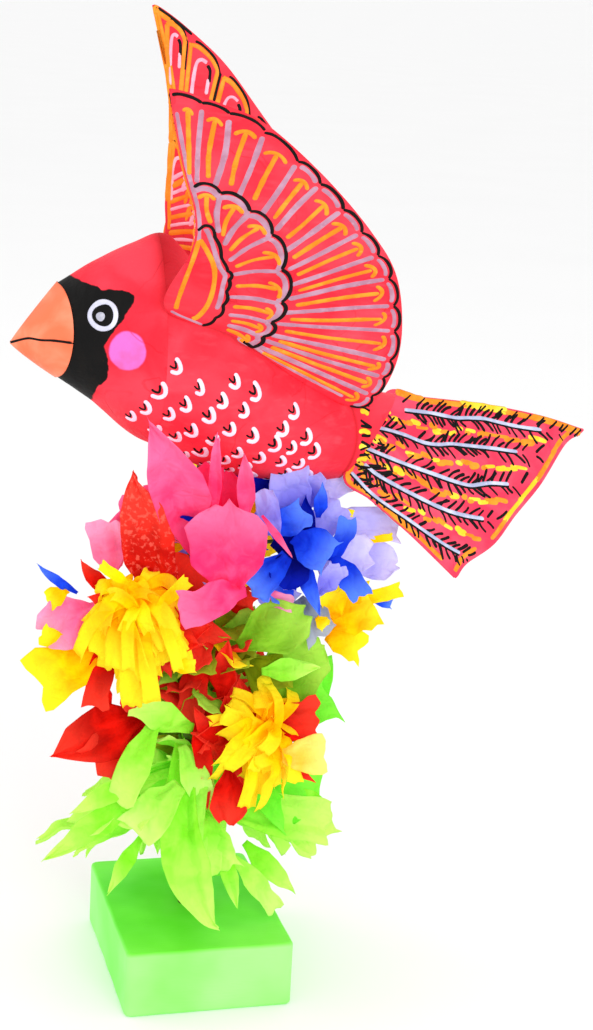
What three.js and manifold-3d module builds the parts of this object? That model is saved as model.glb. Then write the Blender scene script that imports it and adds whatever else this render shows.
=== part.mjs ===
// A painted papier-mache cardinal with raised card wings and a card tail fan. It stands on a round
// post in a green wood block, and the post is dressed with tissue-paper flowers and leaves.
// Millimetres, +Z up. The origin is the centre of the block's underside. The beak points to -X,
// the tail to +X and the bird's left wing to -Y.
import * as THREE from 'three';
import { mergeVertices } from 'three/addons/utils/BufferGeometryUtils.js';
import Module from 'manifold-3d';

const wasm = await Module();
wasm.setup();

// ---- driving dimensions ----------------------------------------------------------------------
const GAP = 0.3;                 // clearance between pieces that touch
const BLOCK = { width: 89, depth: 114, height: 36, round: 3 };
const POST = { radius: 6, foot: 12, top: 312, sides: 20 };
const WRAP = { thick: 1.1, low: [84, 122], high: [132, 262] };
const SKIN = 3;                  // papier-mache wall
const NECK_X = -32;              // where the head cap meets the body
const FACE_X = -80;              // where the beak meets the head
const MOUTH_Z = 343;             // height of the line between the beak's halves
const SIDES = 20;                // points round a section of the bird

// Sections of the bird along X: place, height of the middle, half height, half width, and how far
// the width draws in towards the crown.
const SECTIONS = [
  [-80, 350, 23, 15, 0.0],
  [-62, 349, 35, 26, 0.05],
  [-42, 346, 48, 34, 0.15],
  [-26, 344, 54, 38, 0.4],
  [-6, 329, 48, 40, 0.25],
  [22, 315, 41, 37, 0.05],
  [52, 304, 32, 29, 0.0],
  [80, 297, 23, 20, 0.0],
  [104, 296, 20, 15, 0.0],
];
const BEAK = [
  [-80, 350, 22.5, 14.5, 0],
  [-91, 346, 12.5, 9, 0],
  [-99, 343.6, 4.6, 3.6, 0],
  [-103, 343, 0.8, 0.8, 0],
];

// A card board lies in its own flat chart: a corner, the two directions in the board, and an
// outline of places along those directions. Its tab goes into a slot in the bird.
const LEFT_WING = {
  corner: [-33.6, -37, 366.7],
  along: [0.911, 0.091, -0.403],
  up: [0.38, -0.569, 0.73],
  thick: 2.4,
  hub: [24, 24],
  outline: [
    [0, 0], [-8, 36], [-13, 49], [-22, 62], [-38, 79], [-61, 107], [-62, 113], [-36, 117], [-16, 117],
    [21, 107], [55, 93], [81, 77], [104, 50], [117, 25], [121, 0], [111, -8], [82, -6], [38, 3],
  ],
  tab: { from: [24, -16], to: [80, 6] },
};
const RIGHT_WING = {
  corner: [-34, 32, 365],
  along: [0.925, -0.102, -0.365],
  up: [0.375, 0.115, 0.92],
  thick: 2.4,
  hub: [26, 30],
  outline: [
    [0, 4], [2, 30], [-4, 47], [-10, 66], [-23, 99], [-34, 116], [-45, 133], [-35, 136], [-9, 126],
    [19, 115], [48, 99], [80, 78], [104, 52], [117, 25], [120, 2], [108, -6], [80, -5], [38, 2],
  ],
  tab: { from: [24, -18], to: [76, 6] },
};
const TAIL = {
  corner: [81, -2, 297],
  along: [0.924, 0, -0.383],
  up: [0.325, 0.531, 0.782],
  thick: 2,
  hub: [50, 0],
  outline: [
    [9, 29], [30, 34], [70, 46], [128, 56], [119, 42], [109, 14], [97, -10], [88, -30], [75, -46],
    [70, -56], [38, -43], [13, -34], [-5, -28],
  ],
  tab: { from: [-14, -13], to: [14, 13] },
};
const TAIL_CUT = { through: [83, -2, 296], normal: [0.82, -0.13, -0.56] };

// Tissue flowers: angle round the post from +X, height, reach from the post's axis to the middle
// of the rim, rim radius, depth of the cup, upward tilt, petals, colour, and the fringe's radius.
const FLOWERS = {
  pink_flower: { angle: -92, z: 246, reach: 36, rim: 26, cup: 15, tilt: 22, petals: 4, paint: 0xff5f9c },
  blue_flower: { angle: -24, z: 247, reach: 45, rim: 25, cup: 14, tilt: 8, petals: 5, paint: 0x2a55e0 },
  red_flower: { angle: -164, z: 250, reach: 39, rim: 24, cup: 14, tilt: 18, petals: 4, paint: 0xf02a1c },
  lilac_flower: { angle: 10, z: 240, reach: 68, rim: 20, cup: 12, tilt: 12, petals: 5, paint: 0xb9b2f4 },
  yellow_flower: { angle: -4, z: 194, reach: 70, rim: 23, cup: 14, tilt: -6, petals: 5, paint: 0xffd92e },
  fringe_flower_1: {
    angle: -133, z: 202, reach: 54, rim: 30, cup: 12, tilt: 8, petals: 5, paint: 0xf02a1c, fringe: 15,
  },
  pale_pink_flower: { angle: 176, z: 212, reach: 62, rim: 23, cup: 14, tilt: 8, petals: 4, paint: 0xffa3cc },
  green_crumple: { angle: -29, z: 178, reach: 42, rim: 24, cup: 14, tilt: 0, petals: 5, paint: 0xa8d850 },
  left_yellow_flower: {
    angle: -170, z: 172, reach: 70, rim: 20, cup: 12, tilt: -4, petals: 4, paint: 0xffe03a,
  },
  low_red_flower: { angle: -156, z: 138, reach: 56, rim: 20, cup: 12, tilt: -6, petals: 4, paint: 0xe0241c },
  fringe_flower_2: {
    angle: -66, z: 142, reach: 52, rim: 30, cup: 12, tilt: -4, petals: 5, paint: 0xf02a1c, fringe: 15,
  },
  back_yellow_flower: {
    angle: 56, z: 246, reach: 42, rim: 27, cup: 14, tilt: 16, petals: 5, paint: 0xffd92e,
  },
  back_pink_flower: { angle: 130, z: 242, reach: 42, rim: 26, cup: 14, tilt: 16, petals: 4, paint: 0xff7fb0 },
  fringe_flower_3: {
    angle: 95, z: 184, reach: 52, rim: 30, cup: 12, tilt: 4, petals: 5, paint: 0xf02a1c, fringe: 15,
  },
  back_red_flower: { angle: 38, z: 140, reach: 50, rim: 24, cup: 13, tilt: -4, petals: 5, paint: 0xf02a1c },
};
const PETAL_THICK = 1.6;
const STEM = { radius: 1.1, run: 9, clear: 0.5, sides: 3, steps: 4 };

// Lime leaves in two tiers: angle round the post, how far out the tip is and the tip's height.
const LEAVES = {
  low: [
    [-168, 88, 78], [-124, 60, 60], [-84, 44, 44], [-44, 56, 40],
    [2, 66, 60], [48, 62, 48], [100, 60, 46], [148, 66, 64],
  ],
  high: [[-146, 72, 99], [-22, 60, 84], [74, 56, 86], [172, 58, 96]],
};
const LEAF = { thick: 1.2, lowRoot: 92, highRoot: 116, rise: 7, rootWidth: 3, width: 22, steps: 5 };

// ---- shape helpers ---------------------------------------------------------------------------
const vec = (p) => new THREE.Vector3(...p);

// The same faces with shared corners, turned so that they point outwards.
function outward(positions, faces) {
  const geometry = new THREE.BufferGeometry();
  geometry.setAttribute('position', new THREE.Float32BufferAttribute(positions, 3));
  let volume = 0;
  const corner = (i) => new THREE.Vector3().fromArray(positions, 3 * i);
  for (let i = 0; i < faces.length; i += 3) {
    volume += corner(faces[i]).dot(corner(faces[i + 1]).cross(corner(faces[i + 2])));
  }
  const turned = volume < 0 ? [...faces].reverse() : faces;
  geometry.setIndex(turned);
  return geometry;
}

// A closed skin over rings of equally many points, with a fan over each end.
function skinOver(rings) {
  const count = rings[0].length;
  const points = rings.flat();
  const faces = [];
  for (let r = 0; r + 1 < rings.length; r += 1) {
    for (let i = 0; i < count; i += 1) {
      const a = r * count + i;
      const b = r * count + ((i + 1) % count);
      faces.push(a, b, b + count, a, b + count, a + count);
    }
  }
  for (const [ring, first] of [[0, true], [rings.length - 1, false]]) {
    const middle = rings[ring].reduce((sum, p) => sum.add(p), new THREE.Vector3()).divideScalar(count);
    points.push(middle);
    for (let i = 0; i < count; i += 1) {
      const a = ring * count + i;
      const b = ring * count + ((i + 1) % count);
      faces.push(...(first ? [points.length - 1, b, a] : [points.length - 1, a, b]));
    }
  }
  return outward(points.flatMap((p) => p.toArray()), faces);
}

function toSolid(geometry) {
  const bare = geometry.clone();
  bare.deleteAttribute('normal');
  bare.deleteAttribute('uv');
  const merged = mergeVertices(bare, 1e-4);
  const mesh = new wasm.Mesh({
    numProp: 3,
    vertProperties: new Float32Array(merged.attributes.position.array),
    triVerts: new Uint32Array(merged.index.array),
  });
  return new wasm.Manifold(mesh);
}

function toGeometry(solid) {
  const mesh = solid.getMesh();
  const geometry = new THREE.BufferGeometry();
  geometry.setAttribute('position', new THREE.BufferAttribute(mesh.vertProperties.slice(), 3));
  geometry.setIndex(new THREE.BufferAttribute(mesh.triVerts.slice(), 1));
  return geometry;
}

function placed(geometry, position, direction) {
  const turn = new THREE.Quaternion().setFromUnitVectors(new THREE.Vector3(0, 0, 1), direction);
  return geometry.applyMatrix4(new THREE.Matrix4().compose(position, turn, new THREE.Vector3(1, 1, 1)));
}

function upright(radius, low, high, sides = POST.sides) {
  const geometry = new THREE.CylinderGeometry(radius, radius, high - low, sides);
  return geometry.rotateX(Math.PI / 2).translate(0, 0, (low + high) / 2);
}

// ---- the bird's round forms ------------------------------------------------------------------
function sectionRing([x, middle, halfHeight, halfWidth, crown], grow) {
  return Array.from({ length: SIDES }, (_, i) => {
    const turn = (2 * Math.PI * i) / SIDES;
    const drawIn = 1 - crown * Math.max(Math.cos(turn), 0) ** 2;
    return new THREE.Vector3(
      x,
      (halfWidth + grow) * Math.sin(turn) * drawIn,
      middle + (halfHeight + grow) * Math.cos(turn),
    );
  });
}

// Everything on the low side of a plane, as a large box turned square to the plane.
function behind(through, normal) {
  const size = 1600;
  const direction = vec(normal).normalize();
  const centre = vec(through).addScaledVector(direction, -size / 2);
  return toSolid(placed(new THREE.BoxGeometry(size, size, size), centre, direction));
}

// The whole bird's form, grown by a distance all over; a negative distance makes it smaller.
function birdForm(grow) {
  const direction = vec(TAIL_CUT.normal).normalize();
  const cut = vec(TAIL_CUT.through).addScaledVector(direction, grow).toArray();
  return toSolid(skinOver(SECTIONS.map((s) => sectionRing(s, grow)))).intersect(behind(cut, TAIL_CUT.normal));
}

// ---- card boards -----------------------------------------------------------------------------
function boardAxes(board) {
  const along = vec(board.along).normalize();
  const face = along.clone().cross(vec(board.up)).normalize();
  const up = face.clone().cross(along);
  return { along, up, face };
}

function boardPoint(board, [p, q], off) {
  const { along, up, face } = boardAxes(board);
  return vec(board.corner).addScaledVector(along, p).addScaledVector(up, q).addScaledVector(face, off);
}

// The plate within the outline: two flat faces, each a fan about the hub, joined round the edge.
function boardPlate(board) {
  const scaled = (share, off) => board.outline.map(([p, q]) => boardPoint(
    board,
    [board.hub[0] + share * (p - board.hub[0]), board.hub[1] + share * (q - board.hub[1])],
    off,
  ));
  const half = board.thick / 2;
  return toSolid(skinOver([scaled(1, -half), scaled(1, half)]));
}

function tabBox(board, grow) {
  const { from, to } = board.tab;
  const geometry = new THREE.BoxGeometry(
    to[0] - from[0] + 2 * grow,
    to[1] - from[1] + 2 * grow,
    board.thick + 2 * grow,
  );
  const { along, up, face } = boardAxes(board);
  const frame = new THREE.Matrix4().makeBasis(along, up, face);
  frame.setPosition(boardPoint(board, [(from[0] + to[0]) / 2, (from[1] + to[1]) / 2], 0));
  return toSolid(geometry.applyMatrix4(frame));
}

// ---- tissue flowers and leaves ---------------------------------------------------------------
function outwards(angle, tilt) {
  const a = THREE.MathUtils.degToRad(angle);
  const t = THREE.MathUtils.degToRad(tilt);
  return new THREE.Vector3(Math.cos(a) * Math.cos(t), Math.sin(a) * Math.cos(t), Math.sin(t));
}

function flowerBase({ angle, z, reach, cup, tilt }) {
  const out = outwards(angle, tilt);
  return outwards(angle, 0).multiplyScalar(reach).add(new THREE.Vector3(0, 0, z)).addScaledVector(out, -cup);
}

// An open cup whose rim is waved into petals: the outside from the base to the rim, then the
// inside back down again.
function petalCup(flower) {
  const { rim, cup, petals } = flower;
  const around = 4 * petals;
  const profile = [[0.1, 0], [0.5, 0.22], [0.82, 0.6], [1, 1]];
  const ring = ([r, h], lift, shrink) => Array.from({ length: around }, (_, i) => {
    const turn = (2 * Math.PI * i) / around;
    const wave = 1 + 0.16 * r * Math.cos(petals * turn);
    const radius = Math.max(rim * r * wave - shrink, 1);
    return new THREE.Vector3(radius * Math.cos(turn), radius * Math.sin(turn), cup * h + lift);
  });
  const rings = [
    ...profile.map((p) => ring(p, 0, 0)),
    ...profile.slice(0, -1).reverse().map((p) => ring(p, PETAL_THICK, 0.3)),
  ];
  return placed(skinOver(rings), flowerBase(flower), outwards(flower.angle, flower.tilt));
}

function fringeBall(flower, grow) {
  const out = outwards(flower.angle, flower.tilt);
  const height = PETAL_THICK + GAP + flower.fringe + 1.2;
  const ball = new THREE.SphereGeometry(flower.fringe + grow, 10, 7);
  return placed(ball, flowerBase(flower).addScaledVector(out, height), out);
}

// A paper-wrapped wire that runs up the post, then bends out to the flower's base.
function stem(flower) {
  const start = POST.radius + GAP + WRAP.thick + STEM.clear + STEM.radius;
  const base = flowerBase(flower);
  const end = base.clone().addScaledVector(outwards(flower.angle, flower.tilt), -GAP);
  const foot = outwards(flower.angle, 0).multiplyScalar(start);
  const path = new THREE.CatmullRomCurve3([
    foot.clone().setZ(end.z - STEM.run - 4),
    foot.clone().setZ(end.z - 5),
    foot.clone().lerp(end, 0.35).setZ(end.z - 1.5),
    end,
  ]);
  const section = new THREE.Shape();
  section.absarc(0, 0, STEM.radius, 0, 2 * Math.PI);
  return new THREE.ExtrudeGeometry(section, {
    steps: STEM.steps, curveSegments: STEM.sides, extrudePath: path,
  });
}

// A thin strip that leaves the post, arches and falls to its tip.
function leaf([angle, tipReach, tipZ], root) {
  const out = outwards(angle, 0);
  const side = outwards(angle + 90, 0);
  const start = POST.radius + 2 * GAP + WRAP.thick;
  const path = new THREE.QuadraticBezierCurve3(
    out.clone().multiplyScalar(start).setZ(root),
    out.clone().multiplyScalar(0.6 * tipReach).setZ(root + LEAF.rise),
    out.clone().multiplyScalar(tipReach).setZ(tipZ),
  );
  const rings = Array.from({ length: LEAF.steps + 1 }, (_, i) => {
    const t = i / LEAF.steps;
    const ends = LEAF.rootWidth * (1 - t) + LEAF.thick * t;
    const half = 0.5 * (ends + LEAF.width * Math.sin(Math.PI * t ** 1.3));
    const tangent = path.getTangent(t);
    const above = tangent.clone().cross(side).normalize().multiplyScalar(LEAF.thick / 2);
    const middle = path.getPoint(t);
    const across = side.clone().multiplyScalar(half);
    return [
      middle.clone().add(across).add(above), middle.clone().sub(across).add(above),
      middle.clone().sub(across).sub(above), middle.clone().add(across).sub(above),
    ];
  });
  return skinOver(rings);
}

// ---- the block and the post ------------------------------------------------------------------
function block() {
  const { width, depth, height, round } = BLOCK;
  const shape = new THREE.Shape();
  shape.absarc(width / 2 - round, depth / 2 - round, round, 0, Math.PI / 2);
  shape.absarc(-width / 2 + round, depth / 2 - round, round, Math.PI / 2, Math.PI);
  shape.absarc(-width / 2 + round, -depth / 2 + round, round, Math.PI, 1.5 * Math.PI);
  shape.absarc(width / 2 - round, -depth / 2 + round, round, 1.5 * Math.PI, 2 * Math.PI);
  const body = toSolid(new THREE.ExtrudeGeometry(shape, {
    depth: height, bevelEnabled: false, curveSegments: 3,
  }));
  return toGeometry(body.subtract(toSolid(upright(POST.radius + GAP, POST.foot - GAP, height + 10))));
}

function wrap([low, high]) {
  const inner = POST.radius + GAP;
  const outer = inner + WRAP.thick;
  const profile = [[inner, low], [outer, low], [outer, high], [inner, high], [inner, low]];
  const points = profile.map(([r, z]) => new THREE.Vector2(r, z));
  return new THREE.LatheGeometry(points, POST.sides).rotateX(Math.PI / 2);
}

// ---- the assembly ----------------------------------------------------------------------------
const figure = new THREE.Group();

function add(name, geometry, color, roughness = 0.85) {
  const material = new THREE.MeshStandardMaterial({ color, roughness, metalness: 0 });
  const mesh = new THREE.Mesh(geometry, material);
  mesh.name = name;
  figure.add(mesh);
}

const CORAL = 0xff4a5c;
const NEWSPRINT = 0xb9b4a8;

add('base_block', block(), 0x72e048, 0.6);
add('post_dowel', upright(POST.radius, POST.foot, POST.top), 0x4a4a20);
add('lower_tape_wrap', wrap(WRAP.low), 0x6a8a30);
add('upper_tape_wrap', wrap(WRAP.high), 0x6a8a30);

const postHole = toSolid(upright(POST.radius + GAP, 200, POST.top + GAP));
const boards = { left_wing: LEFT_WING, right_wing: RIGHT_WING, tail_fan: TAIL };
const slots = Object.values(boards).map((board) => tabBox(board, GAP));
const headSide = (gap) => behind([NECK_X - gap, 0, 0], [1, 0, 0]);
const bodySide = (gap) => behind([NECK_X + gap, 0, 0], [-1, 0, 0]);

function cutForFittings(solid) {
  return slots.reduce((rest, slot) => rest.subtract(slot), solid).subtract(postHole);
}

const shell = cutForFittings(birdForm(0).subtract(birdForm(-SKIN)));
const core = cutForFittings(birdForm(-SKIN - GAP));
add('body_shell', toGeometry(shell.intersect(bodySide(GAP / 2))), CORAL);
add('head_shell', toGeometry(shell.intersect(headSide(GAP / 2))), CORAL);
add('body_core', toGeometry(core.intersect(bodySide(GAP / 2))), NEWSPRINT);
add('head_core', toGeometry(core.intersect(headSide(GAP / 2))), NEWSPRINT);

const beak = toSolid(skinOver(BEAK.map((s) => sectionRing([s[0] - GAP, ...s.slice(1)], 0))));
const beakHalf = (sign) => beak.intersect(behind([0, 0, MOUTH_Z + (sign * GAP) / 2], [0, 0, -sign]));
add('beak_upper', toGeometry(beakHalf(1)), 0xff9a78, 0.7);
add('beak_lower', toGeometry(beakHalf(-1)), 0xff9a78, 0.7);

const keepClear = birdForm(GAP + 0.2);
for (const [name, board] of Object.entries(boards)) {
  add(name, toGeometry(boardPlate(board).subtract(keepClear).add(tabBox(board, 0))), CORAL, 0.7);
}

for (const [name, flower] of Object.entries(FLOWERS)) {
  let cup = toSolid(petalCup(flower));
  if (flower.fringe) {
    cup = cup.subtract(toSolid(fringeBall(flower, GAP)));
    add(`${name}_fringe`, fringeBall(flower, 0), 0xffe22a);
  }
  add(`${name}_petals`, toGeometry(cup), flower.paint);
  add(`${name}_stem`, stem(flower), 0x5f8a34);
}

LEAVES.low.forEach((shape, i) => add(`low_leaf_${i + 1}`, leaf(shape, LEAF.lowRoot), 0xb8f45a));
LEAVES.high.forEach((shape, i) => add(`high_leaf_${i + 1}`, leaf(shape, LEAF.highRoot), 0xc8f86a));

export default figure;
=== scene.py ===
"""A painted papier-mache cardinal on a post dressed with tissue-paper flowers.

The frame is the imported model: metres, +Z up, the beak to -X and the left wing to -Y. Sizes and
places below are in millimetres, and become metres where a mesh is made. Only the lights and the
floor are placed in metres.
"""
import math
import bmesh
import bpy
import numpy as np
from mathutils import Matrix, Vector


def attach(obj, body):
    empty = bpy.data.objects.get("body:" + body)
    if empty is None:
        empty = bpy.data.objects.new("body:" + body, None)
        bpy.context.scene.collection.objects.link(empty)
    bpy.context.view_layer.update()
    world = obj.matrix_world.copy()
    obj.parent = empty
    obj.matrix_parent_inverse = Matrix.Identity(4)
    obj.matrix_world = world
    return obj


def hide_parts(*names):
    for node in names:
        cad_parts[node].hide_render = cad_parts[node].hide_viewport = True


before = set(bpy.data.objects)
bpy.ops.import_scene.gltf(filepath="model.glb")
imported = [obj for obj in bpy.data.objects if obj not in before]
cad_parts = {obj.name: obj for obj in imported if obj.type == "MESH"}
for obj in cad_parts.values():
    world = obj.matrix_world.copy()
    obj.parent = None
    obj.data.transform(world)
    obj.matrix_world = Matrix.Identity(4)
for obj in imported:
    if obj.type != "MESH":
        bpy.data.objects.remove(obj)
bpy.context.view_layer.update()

MM = 0.001
TURN = 2 * math.pi
GOLDEN_TURN = 2.39996
SHELL_WALL = 1.2
TISSUE_WALL = 0.22
PAINT_GLOSS = 0.16


# ---- camera and lights -----------------------------------------------------------------------
VIEW = {
    "place": (-229.1, -970.8, 524.2), "azimuth": 15.95, "pitch": 15.05, "roll": 3.30, "lens": 69.9}


def make_camera():
    """A camera at VIEW: it looks along the azimuth, down by the pitch, and leans by the roll."""
    azimuth, pitch, roll = (math.radians(VIEW[key]) for key in ("azimuth", "pitch", "roll"))
    ahead = Vector((
        math.sin(azimuth) * math.cos(pitch), math.cos(azimuth) * math.cos(pitch), -math.sin(pitch)))
    level = Vector((math.cos(azimuth), -math.sin(azimuth), 0))
    above = level.cross(ahead)
    right = math.cos(roll) * level + math.sin(roll) * above
    up = math.cos(roll) * above - math.sin(roll) * level
    data = bpy.data.cameras.new("camera")
    data.lens = VIEW["lens"]
    data.sensor_width = 36
    data.clip_end = 900
    camera = bpy.data.objects.new("camera", data)
    turn = Matrix((right, up, -ahead)).transposed().to_4x4()
    camera.matrix_world = Matrix.Translation(Vector(VIEW["place"]) * MM) @ turn
    bpy.context.scene.collection.objects.link(camera)
    bpy.context.scene.camera = camera


def make_light(name, place, size, power):
    """A square soft light, placed and sized in metres, that faces the middle of the figure."""
    data = bpy.data.lights.new(name, "AREA")
    data.size = size
    data.energy = power
    light = bpy.data.objects.new(name, data)
    aim = Vector((0, 0, 0.25)) - Vector(place)
    turn = aim.to_track_quat("-Z", "Y").to_matrix().to_4x4()
    light.matrix_world = Matrix.Translation(Vector(place)) @ turn
    bpy.context.scene.collection.objects.link(light)


def light_the_studio():
    """An even white surround, with a soft light in front and another at the side."""
    world = bpy.data.worlds.new("studio")
    world.use_nodes = True
    background = world.node_tree.nodes["Background"]
    background.inputs["Color"].default_value = (1, 1, 1, 1)
    background.inputs["Strength"].default_value = 1.0
    bpy.context.scene.world = world
    make_light("key", (0.2, -1.9, 0.9), 0.9, 16)
    make_light("side", (-1.6, 0.5, 1.3), 0.9, 6)
    bpy.context.scene.view_settings.view_transform = "Standard"
    bpy.context.scene.view_settings.look = "None"


# ---- finishes --------------------------------------------------------------------------------
class Field:
    """A number that changes over a surface: a socket whose arithmetic adds Math nodes."""

    def __init__(self, finish, socket):
        self.finish = finish
        self.socket = socket

    def math(self, operation, other, swapped=False):
        pair = (other, self) if swapped else (self, other)
        return self.finish.number("ShaderNodeMath", {"operation": operation}, dict(enumerate(pair)))

    def __add__(self, other):
        return self.math("ADD", other)

    def __radd__(self, other):
        return self.math("ADD", other, True)

    def __sub__(self, other):
        return self.math("SUBTRACT", other)

    def __rsub__(self, other):
        return self.math("SUBTRACT", other, True)

    def __mul__(self, other):
        return self.math("MULTIPLY", other)

    def __rmul__(self, other):
        return self.math("MULTIPLY", other, True)

    def past(self, low, high):
        """0 up to low, 1 from high, and a smooth rise between."""
        return self.finish.number(
            "ShaderNodeMapRange", {"interpolation_type": "SMOOTHSTEP"},
            {"Value": self, "From Min": low, "From Max": high})


class Finish:
    """A material being built, with its nodes added by node() and their numbers as Fields."""

    def __init__(self, name, slot):
        self.material = bpy.data.materials.new(name)
        self.material.use_nodes = True
        self.slot = slot
        self.tree = self.material.node_tree
        self.tree.nodes.clear()
        self.output = self.tree.nodes.new("ShaderNodeOutputMaterial")
        self.place = self.node("ShaderNodeTexCoord", {}, {}).outputs["Object"]

    def node(self, kind, settings, inputs):
        made = self.tree.nodes.new(kind)
        for key, value in settings.items():
            setattr(made, key, value)
        for key, value in inputs.items():
            if isinstance(value, Field):
                value = value.socket
            if isinstance(value, bpy.types.NodeSocket):
                self.tree.links.new(value, made.inputs[key])
            else:
                made.inputs[key].default_value = value
        return made

    def number(self, kind, settings, inputs, output=0):
        return Field(self, self.node(kind, settings, inputs).outputs[output])

    def attribute(self, name):
        return self.number("ShaderNodeAttribute", {"attribute_name": name}, {}, "Fac")

    def noise(self, scale, detail, stretch=(1, 1, 1), distortion=0.0):
        """Cloudy noise, with scale in waves per metre and stretch along the axes."""
        place = self.node("ShaderNodeMapping", {}, {"Vector": self.place, "Scale": stretch})
        return self.number("ShaderNodeTexNoise", {}, {
            "Vector": place.outputs[0], "Scale": scale, "Detail": detail, "Distortion": distortion})

    def cells(self, scale):
        """Distance to the nearest edge of crumpled facets."""
        return self.number("ShaderNodeTexVoronoi", {"feature": "DISTANCE_TO_EDGE"}, {
            "Vector": self.place, "Scale": scale})

    def blend(self, factor, first, second):
        """Two colours mixed by a factor. Each is a code such as FF4A5C, four numbers or a socket."""
        colour = [(*from_hex(c), 1) if isinstance(c, str) else c for c in (first, second)]
        made = self.node("ShaderNodeMix", {"data_type": "RGBA"}, {
            0: factor, 6: colour[0], 7: colour[1]})
        return made.outputs[2]

    def crease_lines(self, scale):
        """Thin wandering lines, where cloudy noise passes its middle value."""
        level = self.noise(scale, 2, distortion=0.8) - 0.5
        return 1 - (level * level).past(0.00001, 0.00022)

    def bump(self, height, distance, strength):
        return self.node("ShaderNodeBump", {}, {
            "Height": height, "Distance": distance, "Strength": strength}).outputs[0]

    def shader(self, colour, roughness, normal=None, **constants):
        inputs = {"Base Color": colour, "Roughness": roughness}
        if normal is not None:
            inputs["Normal"] = normal
        made = self.node("ShaderNodeBsdfPrincipled", {}, inputs)
        for key, value in constants.items():
            made.inputs[key.replace("_", " ")].default_value = value
        return made.outputs[0]

    def show(self, shader):
        self.tree.links.new(shader, self.output.inputs["Surface"])
        return self


def from_hex(code):
    """A colour such as FF4A5C as three linear numbers."""
    parts = [int(code[i:i + 2], 16) / 255 for i in (0, 2, 4)]
    return tuple(c / 12.92 if c <= 0.04045 else ((c + 0.055) / 1.055) ** 2.4 for c in parts)


def pasted_paper(made, colour, lines, fold, roughness):
    """Paint over pasted paper: painted shade in its creases, folds and joints, and faint wrinkles.

    Its fourth argument says how far the painted shade darkens, and to which colour.
    """
    # Painted shade along the crease lines.
    colour = made.blend(lines * 0.32, colour, "C01428")
    # Painted shade where the mesh stores it: at the neck, the body's end and the wing roots.
    colour = made.blend(made.attribute("fold") * fold[0], colour, fold[1])
    wrinkles = made.noise(120, 4, distortion=1.4) * 0.6 + made.noise(700, 2) * 0.2 - lines * 0.3
    return made.show(made.shader(
        colour, roughness * 0.2 + 0.5, made.bump(wrinkles, 0.0009, 0.8),
        Specular_IOR_Level=PAINT_GLOSS))


def coral_finish(name, slot):
    """Brushed coral paint over pasted paper, in cloudy tones."""
    made = Finish(name, slot)
    clouds = made.noise(28, 4, distortion=0.4).past(0.35, 0.7)
    streaks = made.noise(60, 5, stretch=(1, 4, 4))
    colour = made.blend(clouds, "F0263A", "FF4254")
    colour = made.blend(streaks.past(0.5, 0.8) * 0.35, colour, "FF5A68")
    lines = made.crease_lines(38) * made.noise(34, 2).past(0.42, 0.58)
    # Its folds and joints take painted shade, to a dark red.
    return pasted_paper(made, colour, lines, (0.85, "B00410"), streaks)


def head_finish():
    """Coral paint with a black mask to the beak and a soft pink cheek, each with a brushed edge."""
    made = Finish("head paint", "coral_paper")
    clouds = made.noise(30, 4, distortion=0.4).past(0.35, 0.7)
    colour = made.blend(clouds, "EE2034", "FF3E50")
    wobble = (made.noise(220, 3) - 0.5) * 2.2
    mask = (made.attribute("mask") + wobble).past(-0.35, 0.35)
    ink = made.blend(made.noise(90, 4).past(0.45, 0.8), "030202", "0C0806")
    colour = made.blend(mask, colour, ink)
    cheek = (made.attribute("cheek") + wobble * 0.5).past(-0.6, 0.6)
    rouge = made.blend(made.noise(80, 3).past(0.4, 0.7), "FF6ECC", "FF60A8")
    rouge = made.blend(mask, rouge, "A868C0")
    colour = made.blend(cheek * 0.95, colour, rouge)
    lines = made.crease_lines(34) * made.noise(34, 2).past(0.4, 0.56) * (1 - mask)
    # Its folds and joints take painted shade, to a dark red.
    return pasted_paper(made, colour, lines, (0.8, "B80A14"), made.noise(70, 3))


def block_finish():
    """Smooth green paint with faint brush marks; the top deeper as painted shade, the sides paler as
    painted light.
    """
    made = Finish("block paint", "block_paint")
    clouds = made.noise(14, 3).past(0.3, 0.7)
    # Painted shade: a deeper green on the top. Painted light: a paler green down the sides.
    top = made.blend(clouds, "62DC2A", "84F250")
    sides = made.blend(clouds, "84F260", "A6FE8C")
    colour = made.blend(made.attribute("top"), sides, top)
    marks = made.noise(160, 3, stretch=(1, 6, 6))
    return made.show(made.shader(
        colour, marks * 0.15 + 0.45, made.bump(marks, 0.0003, 0.5), Specular_IOR_Level=0.2))


def brushed_finish(name, slot, deep, light, grain=240, roughness=0.45):
    """Hand-brushed paint in two tones of one colour, with fine grain."""
    made = Finish(name, slot)
    tone = made.noise(55, 4, distortion=0.5).past(0.35, 0.68)
    colour = made.blend(tone, deep, light)
    fine = made.noise(grain, 4)
    return made.show(made.shader(
        colour, fine * 0.25 + roughness - 0.1, made.bump(fine, 0.0003, 0.7),
        Specular_IOR_Level=PAINT_GLOSS))


def stroke_finish(name, slot, deep, light, fleck):
    """A brush stroke in two tones, with flecks of a third where the paint is thin."""
    made = Finish(name, slot)
    flecks = made.noise(320, 3)
    patches = made.noise(120, 3).past(0.35, 0.7)
    colour = made.blend(patches, deep, light)
    colour = made.blend(flecks.past(0.55, 0.8) * 0.5, colour, fleck)
    return made.show(made.shader(
        colour, 0.5, made.bump(flecks, 0.0002, 0.6), Specular_IOR_Level=0.2))


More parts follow.
